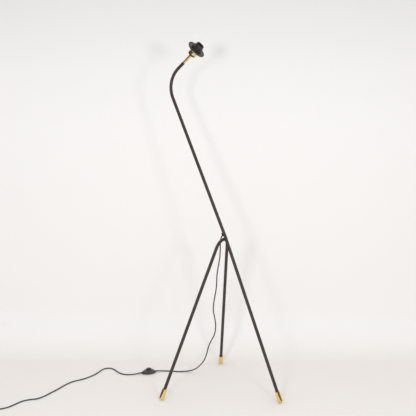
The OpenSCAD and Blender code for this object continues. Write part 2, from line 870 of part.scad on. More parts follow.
// Ring that the button carries down onto the two fixed contacts
module contact_disc() {
    disc_bore_r = spring_mean_r + 1;
    disc_t = 0.8;
    color(brass_finish)
    at_switch() translate([0, 0, button_bottom])
        ring_of(button_r - button_wall - gap, disc_bore_r, disc_t);
}

module switch_contacts() {
    post_x = 7;
    post_t = 2.4;
    strip_l = 9;
    strip_w = 4;
    strip_t = 0.8;
    color(brass_finish)
    at_switch()
        for (side = [-1, 1])
            translate([side * post_x, -strip_w / 2, shell_wall]) union() {
                translate([-post_t / 2, 0, 0]) cube([post_t, strip_w, contact_block_h]);
                translate([(side - 1) * strip_l / 2, 0, 0]) cube([strip_l, strip_w, strip_t]);
            }
}

module switch_screws() {
    color(steel_finish)
    at_switch()
        for (p = screw_spots)
            translate([p[0], p[1], screw_sunk]) union() {
                cylinder(r = screw_head_r, h = screw_head_h);
                cylinder(r = screw_shank_r, h = screw_shank_l);
            }
}

// Tapered sleeve of soft plastic that holds the lead where it enters the switch
module switch_relief(side) {
    color(rubber_black)
    at_switch() translate([side * (switch_end - relief_in + 1), 0, split_z])
        rotate([0, side * 90, 0]) difference() {
            union() {
                cylinder(r = relief_r, h = relief_in - 1);
                translate([0, 0, relief_in - 1])
                    cylinder(r1 = relief_r, r2 = cord_r + relief_tip_wall, h = relief_out);
            }
            translate([0, 0, -over])
                cylinder(r = cord_r + gap, h = relief_in);
        }
}

module relief_lamp_side() {
    switch_relief(1);
}

module relief_mains_side() {
    switch_relief(-1);
}

// ---- Mains lead ----
module cord_drop() {
    color(rubber_black) swept_tube(drop_route, cord_r, cord_sides, [0, 1, 0]);
}

module cord_floor() {
    color(rubber_black) swept_tube(floor_route, cord_r, cord_sides, [0, 0, 1]);
}

module cord_tail() {
    color(rubber_black) swept_tube(tail_route, cord_r, cord_sides, [0, 0, 1]);
}

module cord_coil() {
    color(rubber_black)
    translate([coil_pos[0], coil_pos[1], coil_lift])
        rotate_extrude() translate([coil_r, 0]) union() {
            translate([-coil_windings_w / 2, cord_r / 2])
                square([coil_windings_w, cord_d - cord_r / 2]);
            translate([-coil_windings_w / 2 + cord_r / 2, 0])
                square([coil_windings_w - cord_r, cord_d]);
            translate([-cord_d, cord_r]) square([2 * cord_d, coil_windings_h - cord_r]);
        }
}

// Flat strap round the windings
module coil_tie() {
    inner_w = coil_windings_w + 1;
    inner_h = coil_windings_h + 0.2;
    color(rubber_black)
    translate([coil_pos[0], coil_pos[1], 0]) rotate([0, 0, tie_angle])
        translate([coil_r, 0, 0]) difference() {
            translate([-inner_w / 2 - tie_t, -tie_w / 2, 0])
                cube([inner_w + 2 * tie_t, tie_w, inner_h + 2 * tie_t]);
            translate([-inner_w / 2, -tie_w, tie_t]) cube([inner_w, 2 * tie_w, inner_h]);
        }
}

// ---- Plug ----
module at_plug() {
    translate([plug_pos[0], plug_pos[1], plug_h / 2]) rotate([0, 0, plug_yaw])
        rotate([0, 90, 0]) children();
}

// Flat six-sided outline with round ends, as wide as the plug and as thick
module plug_outline() {
    end_r = plug_h / 2;
    union() {
        square([plug_h, plug_w - plug_h], center = true);
        for (side = [-1, 1])
            translate([0, side * (plug_w / 2 - end_r)]) circle(r = end_r);
    }
}

module plug_body() {
    color(phenolic)
    at_plug() difference() {
        linear_extrude(plug_l) plug_outline();
        for (side = [-1, 1])
            translate([0, side * pin_pitch / 2, plug_l - pin_root_l])
                cylinder(r = pin_d / 2 + gap, h = pin_root_l + over);
        translate([0, 0, -over]) cylinder(r = plug_relief_r + gap, h = plug_relief_in + over);
    }
}

module plug_relief() {
    color(rubber_black)
    at_plug() difference() {
        union() {
            cylinder(r = plug_relief_r, h = plug_relief_in);
            translate([0, 0, -plug_relief_l])
                cylinder(r1 = cord_r + relief_tip_wall, r2 = plug_relief_r, h = plug_relief_l);
        }
        cylinder(r = cord_r, h = plug_relief_in + over);
    }
}

module plug_pin_sleeves() {
    color(phenolic)
    at_plug()
        for (side = [-1, 1])
            translate([0, side * pin_pitch / 2, plug_l])
                ring_of(pin_d / 2, pin_core_r, pin_sleeve_l);
}

module plug_pins() {
    tip_z = pin_root_l + pin_sleeve_l;
    taper_h = 1;
    taper_w = 0.8;
    color(steel_finish)
    at_plug()
        for (side = [-1, 1])
            translate([0, side * pin_pitch / 2, plug_l - pin_root_l]) union() {
                cylinder(d = pin_d, h = pin_root_l);
                cylinder(r = pin_core_r - gap, h = tip_z + over);
                translate([0, 0, tip_z]) cylinder(d = pin_d, h = pin_tip_l);
                translate([0, 0, tip_z + pin_tip_l])
                    cylinder(r1 = pin_d / 2, r2 = pin_d / 2 - taper_w, h = taper_h);
            }
}

main_tube();
rear_legs();
frame_weld();
cable_grommet();
foot_front();
foot_rear_left();
foot_rear_right();
neck_tube();
lock_nut();
internal_cable();
holder_cap();
cap_screw();
holder_sleeve();
sleeve_screws();
shade_plate();
shade_ring();
holder_skirt();
terminal_insert();
screw_shell();
centre_contact();
terminal_screws();
switch_base();
switch_cover();
switch_button();
switch_spring();
contact_disc();
switch_contacts();
switch_screws();
relief_lamp_side();
relief_mains_side();
cord_drop();
cord_floor();
cord_coil();
cord_tail();
coil_tie();
plug_body();
plug_relief();
plug_pin_sleeves();
plug_pins();
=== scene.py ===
"""Looks of a tripod floor lamp: bent black tube, brass feet and neck, bare lampholder, lead with foot switch.

Metres, in the CAD model's frame: +Z up, floor at z = 0, +X towards the front foot. Pieces that are easier to
describe in millimetres (the lathe-turned ones) are drawn in millimetres and scaled by MM.
"""
import json
import math

import bmesh
import bpy
from mathutils import Matrix, Vector


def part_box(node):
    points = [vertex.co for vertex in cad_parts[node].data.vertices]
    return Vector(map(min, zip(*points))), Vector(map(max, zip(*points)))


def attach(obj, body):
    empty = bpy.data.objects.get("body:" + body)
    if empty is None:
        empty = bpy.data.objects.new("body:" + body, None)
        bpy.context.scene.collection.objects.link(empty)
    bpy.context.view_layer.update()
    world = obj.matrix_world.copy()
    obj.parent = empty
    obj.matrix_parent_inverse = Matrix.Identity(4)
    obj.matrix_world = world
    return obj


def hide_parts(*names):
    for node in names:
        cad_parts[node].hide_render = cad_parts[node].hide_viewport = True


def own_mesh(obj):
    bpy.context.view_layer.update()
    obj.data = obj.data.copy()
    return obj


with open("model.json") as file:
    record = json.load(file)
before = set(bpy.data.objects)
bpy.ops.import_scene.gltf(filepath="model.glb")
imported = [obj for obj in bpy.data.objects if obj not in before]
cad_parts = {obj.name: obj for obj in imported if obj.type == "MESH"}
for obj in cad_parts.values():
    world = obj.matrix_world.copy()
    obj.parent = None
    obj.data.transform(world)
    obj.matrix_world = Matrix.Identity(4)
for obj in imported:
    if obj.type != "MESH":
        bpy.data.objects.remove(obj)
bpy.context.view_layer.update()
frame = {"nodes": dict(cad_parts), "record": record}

MM = 0.001
TAU = 2 * math.pi
LAMP, RING, CONTACT, BUTTON = "lamp", "ring", "contact", "button"
record = frame["record"]
mounts = {m["name"]: m for m in record["mounts"]}


def into_scene(thing):
    bpy.context.scene.collection.objects.link(thing)


# ---- places, read from the frame
def box_centre(node):
    low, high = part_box(node)
    return (low + high) / 2


def axes_matrix(origin, z_axis, x_hint):
    """A frame at origin whose Z is z_axis and whose X lies towards x_hint."""
    z = Vector(z_axis).normalized()
    y = z.cross(Vector(x_hint)).normalized()
    x = y.cross(z)
    return Matrix.Translation(origin) @ Matrix((x, y, z)).transposed().to_4x4()


SOCKET_Z = 88.25 * MM            # the bulb socket's mount, from the open end of the black tube
head_axis = Vector(mounts["bulb_socket"]["axis"])
head_base = Vector(mounts["bulb_socket"]["pos_m"]) - head_axis * SOCKET_Z
HEAD = axes_matrix(head_base, head_axis, (1, 0, 0))

switch_centre = box_centre("switch_button")
switch_length = box_centre("relief_lamp_side") - box_centre("relief_mains_side")
SWITCH = axes_matrix((switch_centre.x, switch_centre.y, 0), (0, 0, 1), (switch_length.x, switch_length.y, 0))

plug_way = box_centre("plug_pins") - box_centre("plug_relief")
PLUG_H = 13.7 * MM
PLUG_L = 37 * MM
PLUG = axes_matrix(
    box_centre("plug_body") - plug_way.normalized() * PLUG_L / 2,
    plug_way,
    (0, 0, 1),
)


# ---- camera
VIEW_TURN = math.radians(32.22)  # of the view, from +Y towards -X
VIEW_DOWN = math.radians(7.71)
VIEW_FROM = (1.3021, -2.1942, 1.1067)
LENS = 55.34                     # for a sensor 36 mm wide


def make_camera():
    data = bpy.data.cameras.new("Camera")
    data.lens = LENS
    data.sensor_width = 36
    data.clip_end = 60
    camera = bpy.data.objects.new("Camera", data)
    camera.location = VIEW_FROM
    camera.rotation_euler = (math.radians(90) - VIEW_DOWN, 0, VIEW_TURN)
    into_scene(camera)
    bpy.context.scene.camera = camera


make_camera()


# ---- node materials
class Shader:
    """A Principled material whose patterns are in the object's own coordinates, in metres."""

    def __init__(self, name, color, roughness, metallic=0.0, **sockets):
        self.mat = bpy.data.materials.new(name)
        self.mat.use_nodes = True
        self.mat.diffuse_color = (*color, 1)
        self.tree = self.mat.node_tree
        self.bsdf = self.tree.nodes["Principled BSDF"]
        self.bsdf.inputs["Base Color"].default_value = (*color, 1)
        self.bsdf.inputs["Roughness"].default_value = roughness
        self.bsdf.inputs["Metallic"].default_value = metallic
        for key, value in sockets.items():
            self.bsdf.inputs[key.replace("_", " ")].default_value = value
        self.coords = self.node("ShaderNodeTexCoord").outputs["Object"]
        self.bump_out = None

    def node(self, kind, **settings):
        made = self.tree.nodes.new(kind)
        for key, value in settings.items():
            setattr(made, key, value)
        return made

    def link(self, a, b):
        self.tree.links.new(a, b)

    def noise(self, scale, detail=4.0, stretch=(1, 1, 1), rough=0.55):
        """Noise with features of about 1 / scale metres, drawn out along the axes with a small stretch."""
        mapping = self.node("ShaderNodeMapping")
        mapping.inputs["Scale"].default_value = stretch
        self.link(self.coords, mapping.inputs["Vector"])
        n = self.node("ShaderNodeTexNoise")
        n.inputs["Scale"].default_value = scale
        n.inputs["Detail"].default_value = detail
        n.inputs["Roughness"].default_value = rough
        self.link(mapping.outputs["Vector"], n.inputs["Vector"])
        return n.outputs["Fac"]

    def bands(self, scale, direction="Z", distortion=0.0):
        w = self.node("ShaderNodeTexWave", wave_type="BANDS", bands_direction=direction)
        w.inputs["Scale"].default_value = scale
        w.inputs["Distortion"].default_value = distortion
        w.inputs["Detail"].default_value = 2
        self.link(self.coords, w.inputs["Vector"])
        return w.outputs["Fac"]

    def grains(self, scale):
        v = self.node("ShaderNodeTexVoronoi")
        v.inputs["Scale"].default_value = scale
        self.link(self.coords, v.inputs["Vector"])
        return v.outputs["Distance"]

    def ramp(self, fac, stops):
        r = self.node("ShaderNodeValToRGB")
        r.color_ramp.elements[0].position, r.color_ramp.elements[1].position = stops[0][0], stops[-1][0]
        r.color_ramp.elements[0].color = (*stops[0][1], 1)
        r.color_ramp.elements[1].color = (*stops[-1][1], 1)
        for place, colour in stops[1:-1]:
            r.color_ramp.elements.new(place).color = (*colour, 1)
        self.link(fac, r.inputs["Fac"])
        return r.outputs["Color"]

    def mix(self, fac, a, b, blend="MIX"):
        m = self.node("ShaderNodeMix", data_type="RGBA", blend_type=blend)
        for value, socket in ((fac, m.inputs["Factor"]), (a, m.inputs[6]), (b, m.inputs[7])):
            if isinstance(value, bpy.types.NodeSocket):
                self.link(value, socket)
            elif isinstance(value, (int, float)):
                socket.default_value = value
            else:
                socket.default_value = (*value, 1)
        return m.outputs[2]

    def scaled(self, fac, low, high):
        m = self.node("ShaderNodeMapRange")
        m.inputs["To Min"].default_value = low
        m.inputs["To Max"].default_value = high
        self.link(fac, m.inputs["Value"])
        return m.outputs["Result"]

    def bump(self, height, distance, strength=1.0):
        b = self.node("ShaderNodeBump")
        b.inputs["Strength"].default_value = strength
        b.inputs["Distance"].default_value = distance
        self.link(height, b.inputs["Height"])
        if self.bump_out is not None:
            self.link(self.bump_out, b.inputs["Normal"])
        self.bump_out = b.outputs["Normal"]
        self.link(self.bump_out, self.bsdf.inputs["Normal"])

    def color(self, socket):
        self.link(socket, self.bsdf.inputs["Base Color"])

    def roughness(self, socket):
        self.link(socket, self.bsdf.inputs["Roughness"])

    def upward(self):
        """How far the surface faces up, from -1 to 1."""
        geometry = self.node("ShaderNodeNewGeometry")
        split = self.node("ShaderNodeSeparateXYZ")
        self.link(geometry.outputs["Normal"], split.inputs["Vector"])
        return split.outputs["Z"]

    def edges(self, low, high):
        """1 on outward edges, where a sheen is painted, and 0 on flats, from the mesh's pointiness."""
        geometry = self.node("ShaderNodeNewGeometry")
        return self.ramp(geometry.outputs["Pointiness"], [(low, (0, 0, 0)), (high, (1, 1, 1))])


def black_tube():
    """Satin powder coat: fine orange peel, slightly warm, a breath of dust on what faces up."""
    s = Shader("black_powder_coat", (0.050, 0.041, 0.034), 0.4, Specular_IOR_Level=0.24)
    tone = s.ramp(s.noise(22, 3), [(0.3, (0.043, 0.034, 0.028)), (0.7, (0.058, 0.048, 0.041))])
    dust = s.mix(s.scaled(s.noise(260, 5), 0.0, 0.16), tone, (0.20, 0.185, 0.17))
    s.color(s.mix(s.scaled(s.upward(), 0.0, 0.5), tone, dust))
    s.roughness(s.scaled(s.noise(90, 4), 0.33, 0.45))
    s.bump(s.noise(1500, 2), 0.00006, 0.35)
    s.bump(s.noise(420, 1), 0.0001, 0.12)
    return s.mat


def turned_brass(name, bright, deep, tarnish):
    """Polished brass with faint lathe lines round its Z axis and a little tarnish."""
    s = Shader(name, bright, 0.1, 1.0)
    mottled = s.mix(s.scaled(s.noise(70, 5), 0.0, tarnish), bright, deep)
    s.color(s.mix(s.scaled(s.noise(900, 3, (1, 1, 0.05)), 0.0, 0.08), mottled, deep))
    s.roughness(s.scaled(s.noise(160, 4), 0.06, 0.14))
    s.bump(s.bands(900, "Z", 1.5), 0.000006, 0.3)
    s.bump(s.noise(60, 2), 0.0003, 0.03)
    return s.mat


def noisy(name, colour, roughness, metallic, tone, gloss, *reliefs):
    """A surface whose tone, gloss and relief follow noises, each given by its scale and detail. tone goes on with the
    stops of its ramp, gloss with the two ends of the roughness, and a relief with its height and strength."""
    s = Shader(name, colour, roughness, metallic)
    s.color(s.ramp(s.noise(*tone[:2]), tone[2]))
    s.roughness(s.scaled(s.noise(*gloss[:2]), *gloss[2:]))
    for scale, detail, height, strength in reliefs:
        s.bump(s.noise(scale, detail), height, strength)
    return s.mat


def moulded(name, dark, light, rough, grain_scale, grain_depth, sheen_edge=0.35):
    """Moulded black plastic: eroded fine grain, colour a little uneven, outward edges painted lighter as a sheen."""
    s = Shader(name, dark, rough)
    base = s.ramp(s.noise(55, 4), [(0.3, dark), (0.72, light)])
    # Painted sheen: a lighter colour mixed onto the outward edges
    painted_edge_sheen = tuple(min(1, c * 2.4) for c in light)
    s.color(s.mix(s.mix(sheen_edge, (0, 0, 0), s.edges(0.52, 0.60)), base, painted_edge_sheen))
    s.roughness(s.scaled(s.noise(180, 4), rough - 0.06, rough + 0.08))
    s.bump(s.grains(grain_scale), grain_depth, 0.35)
    s.bump(s.noise(140, 2), 0.00025, 0.06)
    return s.mat


def soft_rubber(name):
    return noisy(name, (0.030, 0.028, 0.026), 0.62, 0.0,
                 (90, 5, [(0.3, (0.024, 0.022, 0.021)), (0.75, (0.05, 0.047, 0.044))]),
                 (400, 3, 0.55, 0.72), (2600, 3, 0.00005, 0.5))


def woven_nylon():
    """Hook and loop strap: crossed ribs with a fuzzy face."""
    s = Shader("woven_nylon", (0.035, 0.033, 0.032), 0.85, Sheen_Weight=0.3)
    s.color(s.ramp(s.noise(700, 4), [(0.3, (0.02, 0.019, 0.018)), (0.75, (0.07, 0.066, 0.062))]))
    s.roughness(s.scaled(s.noise(900, 3), 0.75, 0.95))
    s.bump(s.bands(900, "X"), 0.00012, 0.6)
    s.bump(s.bands(900, "Z"), 0.00012, 0.6)
    s.bump(s.noise(3500, 3), 0.0001, 0.5)
    return s.mat


TUBE_BLACK = black_tube()
FOOT_BRASS = turned_brass("foot_brass", (0.95, 0.74, 0.36), (0.62, 0.38, 0.12), 0.30)
HEAD_BRASS = turned_brass("head_brass", (0.80, 0.64, 0.33), (0.45, 0.33, 0.12), 0.25)
CONTACT_BRASS = noisy("stamped_brass", (0.74, 0.56, 0.28), 0.3, 1.0,
                      (120, 5, [(0.3, (0.62, 0.44, 0.20)), (0.65, (0.80, 0.62, 0.33))]),
                      (300, 4, 0.2, 0.42), (2400, 2, 0.00003, 0.3))
STEEL = noisy("plated_steel", (0.60, 0.60, 0.61), 0.28, 1.0,
              (240, 4, [(0.3, (0.50, 0.50, 0.52)), (0.7, (0.68, 0.67, 0.66))]),
              (500, 3, 0.2, 0.38), (3000, 2, 0.00002, 0.3))
HOLDER_BLACK = moulded("holder_thermoset", (0.018, 0.0175, 0.017), (0.030, 0.029, 0.028), 0.34, 2600, 0.00003)
PLATE_BLACK = moulded("plate_satin_black", (0.035, 0.033, 0.032), (0.055, 0.052, 0.050), 0.40, 1800, 0.00003, 0.5)
SWITCH_BLACK = moulded("switch_plastic", (0.040, 0.035, 0.033), (0.060, 0.053, 0.050), 0.36, 2200, 0.00004)
BUTTON_BLACK = moulded("button_plastic", (0.022, 0.019, 0.018), (0.036, 0.032, 0.030), 0.50, 2200, 0.00005)
PLUG_BLACK = moulded("plug_plastic", (0.024, 0.023, 0.022), (0.040, 0.038, 0.036), 0.45, 2200, 0.00005)
# Extruded PVC: satin, with the cores' twist just telling, dusty in places
SHEATH = noisy("lead_sheath", (0.036, 0.033, 0.031), 0.46, 0.0,
               (35, 5, [(0.25, (0.028, 0.026, 0.024)), (0.6, (0.045, 0.041, 0.038)), (0.85, (0.075, 0.07, 0.065))]),
               (220, 4, 0.40, 0.56), (1800, 3, 0.00005, 0.4), (110, 1, 0.0005, 0.12))
RELIEF_RUBBER = soft_rubber("relief_rubber")
GROMMET_RUBBER = soft_rubber("grommet_rubber")
CERAMIC = noisy("white_ceramic", (0.82, 0.80, 0.74), 0.35, 0.0,
                (300, 5, [(0.3, (0.74, 0.71, 0.64)), (0.6, (0.84, 0.82, 0.77))]),
                (150, 3, 0.28, 0.5), (900, 3, 0.00008, 0.3))
TIE_NYLON = woven_nylon()


# ---- mesh making
def put(name, mesh, material, body, replaces, place=None, smooth_angle=38):
    """Links a mesh as a piece: smooth except at real edges, finished, and riding on its body."""
    mesh.polygons.foreach_set("use_smooth", [True] * len(mesh.polygons))
    bm = bmesh.new()
    bm.from_mesh(mesh)
    bmesh.ops.recalc_face_normals(bm, faces=bm.faces)
    limit = math.radians(smooth_angle)
    for edge in bm.edges:
        edge.smooth = len(edge.link_faces) == 2 and edge.calc_face_angle(0) < limit
    bm.to_mesh(mesh)
    bm.free()
    piece = bpy.data.objects.new(name, mesh)
    into_scene(piece)
    if place is not None:
        piece.matrix_world = place
    mesh.materials.clear()
    mesh.materials.append(material)
    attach(piece, body)
    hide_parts(*replaces)
    return piece


def mesh_from(name, verts, faces):
    mesh = bpy.data.meshes.new(name)
    mesh.from_pydata(verts, [], faces)
    mesh.update()
    return mesh


def ring_faces(rows, around, first=0, loop=False):
    """Faces between rings of points, one ring after the other: back to the first if loop, else capped."""
    faces = []
    for i in range(rows if loop else rows - 1):
        ring, after = first + i * around, first + (i + 1) % rows * around
        for k in range(around):
            n = (k + 1) % around
            faces.append((ring + k, ring + n, after + n, after + k))
    if not loop:
        faces.append(tuple(first + k for k in reversed(range(around))))
        faces.append(tuple(first + (rows - 1) * around + k for k in range(around)))
    return faces


def rounded(outline, steps=5):
    """Outline points (r, z) or (r, z, fillet), in order round the section. Each fillet becomes an arc."""
    points = []
    count = len(outline)
    for i, corner in enumerate(outline):
        here = Vector(corner[:2])
        fillet = corner[2] if len(corner) > 2 else 0
        to_last = (Vector(outline[i - 1][:2]) - here).normalized()
        to_next = (Vector(outline[(i + 1) % count][:2]) - here).normalized()
        angle = to_last.angle(to_next)
        if fillet == 0 or angle > math.radians(178):
            points.append(tuple(here))
            continue
        reach = fillet / math.tan(angle / 2)
        middle = here + (to_last + to_next).normalized() * fillet / math.sin(angle / 2)
        start, end = here + to_last * reach - middle, here + to_next * reach - middle
        for k in range(steps + 1):
            arm = start.slerp(end, k / steps)
            points.append(tuple(middle + arm * (fillet / arm.length)))
    return points


def turned(name, points, segments=96, wobble=None):
    """Revolves a closed outline of (r, z) points in millimetres about Z. wobble(r, z, angle) may shift a radius."""
    bm = bmesh.new()
    rings = []
    for r, z in points:
        if r < 1e-6:
            rings.append([bm.verts.new((0, 0, z * MM))])
            continue
        ring = []
        for k in range(segments):
            a = TAU * k / segments
            radius = wobble(r, z, a) if wobble else r
            ring.append(bm.verts.new((radius * math.cos(a) * MM, radius * math.sin(a) * MM, z * MM)))
        rings.append(ring)
    for i, ring in enumerate(rings):
        after = rings[(i + 1) % len(rings)]
        if len(ring) == 1 and len(after) == 1:
            continue
        for k in range(segments):
            n = (k + 1) % segments
            corners = [ring[k % len(ring)], ring[n % len(ring)], after[n % len(after)], after[k % len(after)]]
            unique = list(dict.fromkeys(corners))
            bm.faces.new(unique)
    mesh = bpy.data.meshes.new(name)
    bm.to_mesh(mesh)
    bm.free()
    return mesh


def climb(r, z0, z1, steps):
    """Close outline points up or down a threaded stretch."""
    return [(r, z0 + (z1 - z0) * k / steps) for k in range(steps + 1)]


def thread(radius, z0, z1, pitch, depth, sharpness=1.0):
    """A wobble that cuts a screw thread into the surface of that radius between z0 and z1."""
    low, high = min(z0, z1), max(z0, z1)

    def shift(r, z, a):
        if abs(r - radius) > 0.02 or not low <= z <= high:
            return r
        wave = 0.5 + 0.5 * math.cos(TAU * (z / pitch - a / TAU))
        fade = min(1, (z - low) / (0.5 * pitch), (high - z) / (0.5 * pitch))
        return r - depth * wave ** sharpness * fade

    return shift


def cut(mesh_name, body_mesh, cutters):
    """body_mesh less the cutter meshes, each a (mesh, matrix)."""
    base = bpy.data.objects.new(mesh_name, body_mesh)
    into_scene(base)
    tools = []
    for mesh, matrix in cutters:
        tool = bpy.data.objects.new("cutter", mesh)
        tool.matrix_world = matrix
        into_scene(tool)
        tools.append(tool)
        modifier = base.modifiers.new("cut", "BOOLEAN")
        modifier.operation = "DIFFERENCE"
        modifier.solver = "EXACT"
        modifier.object = tool
    bpy.context.view_layer.update()
    evaluated = base.evaluated_get(bpy.context.evaluated_depsgraph_get())
    result = bpy.data.meshes.new_from_object(evaluated)
    result.name = mesh_name
    for thing in (base, *tools):
        bpy.data.objects.remove(thing)
    return result


# ---- the lead, first of the pieces
LEAD_D = 5 * MM
LEAD_R = LEAD_D / 2
LIE = 2.5                        # height of the lead's centre on the floor, millimetres
RELIEF_TIP = 42                  # switch centre to the tip of a strain relief, millimetres
SEAM = 6.0                       # height of the switch's seam, where the lead enters, millimetres
STRAIGHT = 12                    # of lead outside the stem or a relief before it starts to bend, millimetres
SAG = 1.5                        # how far it has dropped there outside the switch, millimetres


def switch_point(x, drop=0.0):
    """A point on the switch's long axis, x millimetres towards the lamp, at the height where the lead enters."""
    return SWITCH @ Vector((x * MM, 0, (SEAM - drop) * MM))


def metres(points):
    return [Vector(p) * MM for p in points]


# The lead leaves the stem at the lowest end of the cable inside it.
OUTLET_LEAN = math.radians(32)   # of the lead from the vertical, where it leaves the stem
outlet_way = Vector((-math.sin(OUTLET_LEAN), 0, -math.cos(OUTLET_LEAN)))
mouth_vertices = [v.co for v in frame["nodes"]["internal_cable"].data.vertices]
mouth_reach = max(v.dot(outlet_way) for v in mouth_vertices)
mouth_ring = [v for v in mouth_vertices if v.dot(outlet_way) > mouth_reach - 0.2 * MM]
outlet = Vector([(min(v[i] for v in mouth_ring) + max(v[i] for v in mouth_ring)) / 2 for i in range(3)])

DROP_ROUTE = [
    (-20, 0, 630), (-22, 1, 615), (-23, 2, 590), (-25, 3, 560), (-31, 6, 533), (-38, 9, 506),
    (-44, 12, 480), (-46, 13, 454), (-49, 15, 427), (-54, 17, 400), (-62, 21, 372), (-68, 24, 345),
    (-69, 24, 318), (-62, 21, 294), (-55, 18, 270), (-54, 17, 245), (-63, 21, 214), (-84, 31, 182),
    (-103, 40, 149), (-116, 44, 112), (-131, 47, 80), (-150, 53, 56), (-170, 61, 37), (-192, 69, 20),
    (-214, 68, 9), (-239, 55, 4), (-265, 41, LIE), (-290, 30, LIE), (-312, 18, LIE + 0.5),
]
FLOOR_ROUTE = [
    (-420, -99, LIE + 0.5), (-443, -111, LIE), (-468, -112, LIE), (-493, -104, LIE), (-518, -94, LIE),
    (-542, -90, LIE), (-559, -101, LIE), (-564, -124, LIE), (-559, -152, LIE), (-555, -186, LIE),
    (-557, -220, LIE), (-565, -252, LIE), (-577, -277, LIE), (-584, -306, LIE), (-583, -345, LIE),
    (-579, -385, LIE), (-577, -430, LIE), (-576, -468, LIE), (-583, -494, LIE), (-601, -515, LIE),
    (-614, -540, LIE), (-617, -575, LIE), (-620, -608, LIE), (-632, -632, LIE), (-653, -652, LIE),
]

COIL_CENTRE = box_centre("cord_coil")
COIL_START = math.radians(-49)   # where the lead joins its coil
COIL_TURNS = 4 + 91 / 360
TURN_POINTS = 20
CROSSING = 0.2                   # the last part of each turn, where the lead moves on to the next one
COIL_LIFT = 0.6                  # the strap's thickness under the coil, millimetres
PITCH = 5.0                      # between neighbouring windings, millimetres
LOWER_RADII = (32.5, 27.5, 22.5)
UPPER_RADII = (25.0, 30.0)


def coil_section(turns):
    """(radius, height) of the lead's centre in the coil, in millimetres, after so many turns."""
    turn = int(turns)
    move = max(0.0, (turns - turn - (1 - CROSSING)) / CROSSING)
    shift = PITCH * move
    if turn < 2:
        return LOWER_RADII[turn] - shift, 0.0
    if turn == 2:                # climbs round its neighbour on to the upper layer
        lift = math.radians(180 - 120 * move)
        return LOWER_RADII[1] - shift + PITCH * math.cos(lift), PITCH * math.sin(lift)
    radius = UPPER_RADII[turn - 3] + shift
    below = [r - shift for r in LOWER_RADII]
    height = max(math.sqrt(max(0.0, PITCH ** 2 - (radius - r) ** 2)) for r in below)
    return radius, height


def coil_points():
    points = []
    steps = round(COIL_TURNS * TURN_POINTS)
    for k in range(steps + 1):
        turns = COIL_TURNS * k / steps
        radius, height = coil_section(turns)
        a = COIL_START - TAU * turns
        points.append(Vector((
            COIL_CENTRE.x + radius * math.cos(a) * MM,
            COIL_CENTRE.y + radius * math.sin(a) * MM,
            (LIE + COIL_LIFT + height) * MM,
        )))
    return points


def lead_curve(name, points, body, replaced):
    curve = bpy.data.curves.new(name, "CURVE")
    curve.dimensions = "3D"
    curve.bevel_depth = LEAD_R
    curve.bevel_resolution = 7
    curve.resolution_u = 8
    curve.use_fill_caps = True
    spline = curve.splines.new("BEZIER")
    spline.bezier_points.add(len(points) - 1)
    for place, point in zip(points, spline.bezier_points):
        point.co = place
        point.handle_left_type = point.handle_right_type = "AUTO"
    piece = bpy.data.objects.new(name, curve)
    into_scene(piece)
    curve.materials.append(SHEATH)
    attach(piece, body)
    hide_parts(*replaced)
    return piece


PLUG_RELIEF_L = 22               # millimetres
COIL_EXIT = 14                   # of lead that still runs the coil's way after its last winding, millimetres

drop_points = [outlet, outlet + outlet_way * STRAIGHT * MM] + metres(DROP_ROUTE) + [
    switch_point(RELIEF_TIP + STRAIGHT, SAG), switch_point(RELIEF_TIP)]
relief_back = PLUG @ Vector((0, 0, -PLUG_RELIEF_L * MM))
relief_before = PLUG @ Vector((0, 0, -(PLUG_RELIEF_L + STRAIGHT) * MM))
coil_route = coil_points()
leave = (coil_route[-1] - coil_route[-2]).normalized()
floor_points = (
    [switch_point(-RELIEF_TIP), switch_point(-RELIEF_TIP - STRAIGHT, SAG)] + metres(FLOOR_ROUTE)
    + coil_route + [coil_route[-1] + leave * COIL_EXIT * MM, relief_before, relief_back])
lead_drop = lead_curve("lead_lamp_to_switch", drop_points, LAMP, ["cord_drop"])
lead_floor = lead_curve("lead_switch_to_plug", floor_points, LAMP, ["cord_floor", "cord_coil", "cord_tail"])


# ---- frame: weld and grommet
TUBE_R = 6.5
FRONT_LEAN = math.radians(21.88)
STEM_LEAN = math.radians(24.5)


def weld_bead():
    """A rippled bead round the spot where the rear legs' bend touches the back of the front leg."""
    middle = box_centre("frame_weld")
    up = Vector((-math.sin(FRONT_LEAN), 0, math.cos(FRONT_LEAN)))
    back = Vector((-math.cos(FRONT_LEAN), 0, -math.sin(FRONT_LEAN)))
    reach, bead, around, sides = 5.3, 1.75, 132, 14
    verts = []
    for i in range(around):
        a = TAU * i / around
        u, y = reach * math.cos(a), reach * math.sin(a)
        ripple = bead * (1 + 0.10 * abs(math.sin(11 * a)) + 0.03 * math.sin(5 * a + 1))
        saddle = (u * u - y * y) / (4 * TUBE_R)
        centre = middle + (up * u + Vector((0, y, 0)) + back * saddle) * MM
        outward = (up * math.cos(a) + Vector((0, math.sin(a), 0))).normalized()
        for k in range(sides):
            b = TAU * k / sides
            verts.append(centre + (outward * math.cos(b) + back * math.sin(b)) * ripple * MM)
    mesh = mesh_from("weld_bead", verts, ring_faces(around, sides, loop=True))
    put("weld_bead", mesh, TUBE_BLACK, LAMP, ["frame_weld"])


def oval_block(name, outline, segments=72):
    """A block with a race-track plan. outline is (length, width, height) rings from bottom to top, in millimetres;
    length lies along Y, width along X, height along Z."""
    verts = []
    for length, width, height in outline:
        r = width / 2
        for k in range(segments):
            a = TAU * k / segments
            shift = (length / 2 - r) * (1 if math.sin(a) >= 0 else -1)
            verts.append((r * math.cos(a) * MM, (r * math.sin(a) + shift) * MM, height * MM))
    return mesh_from(name, verts, ring_faces(len(outline), segments))


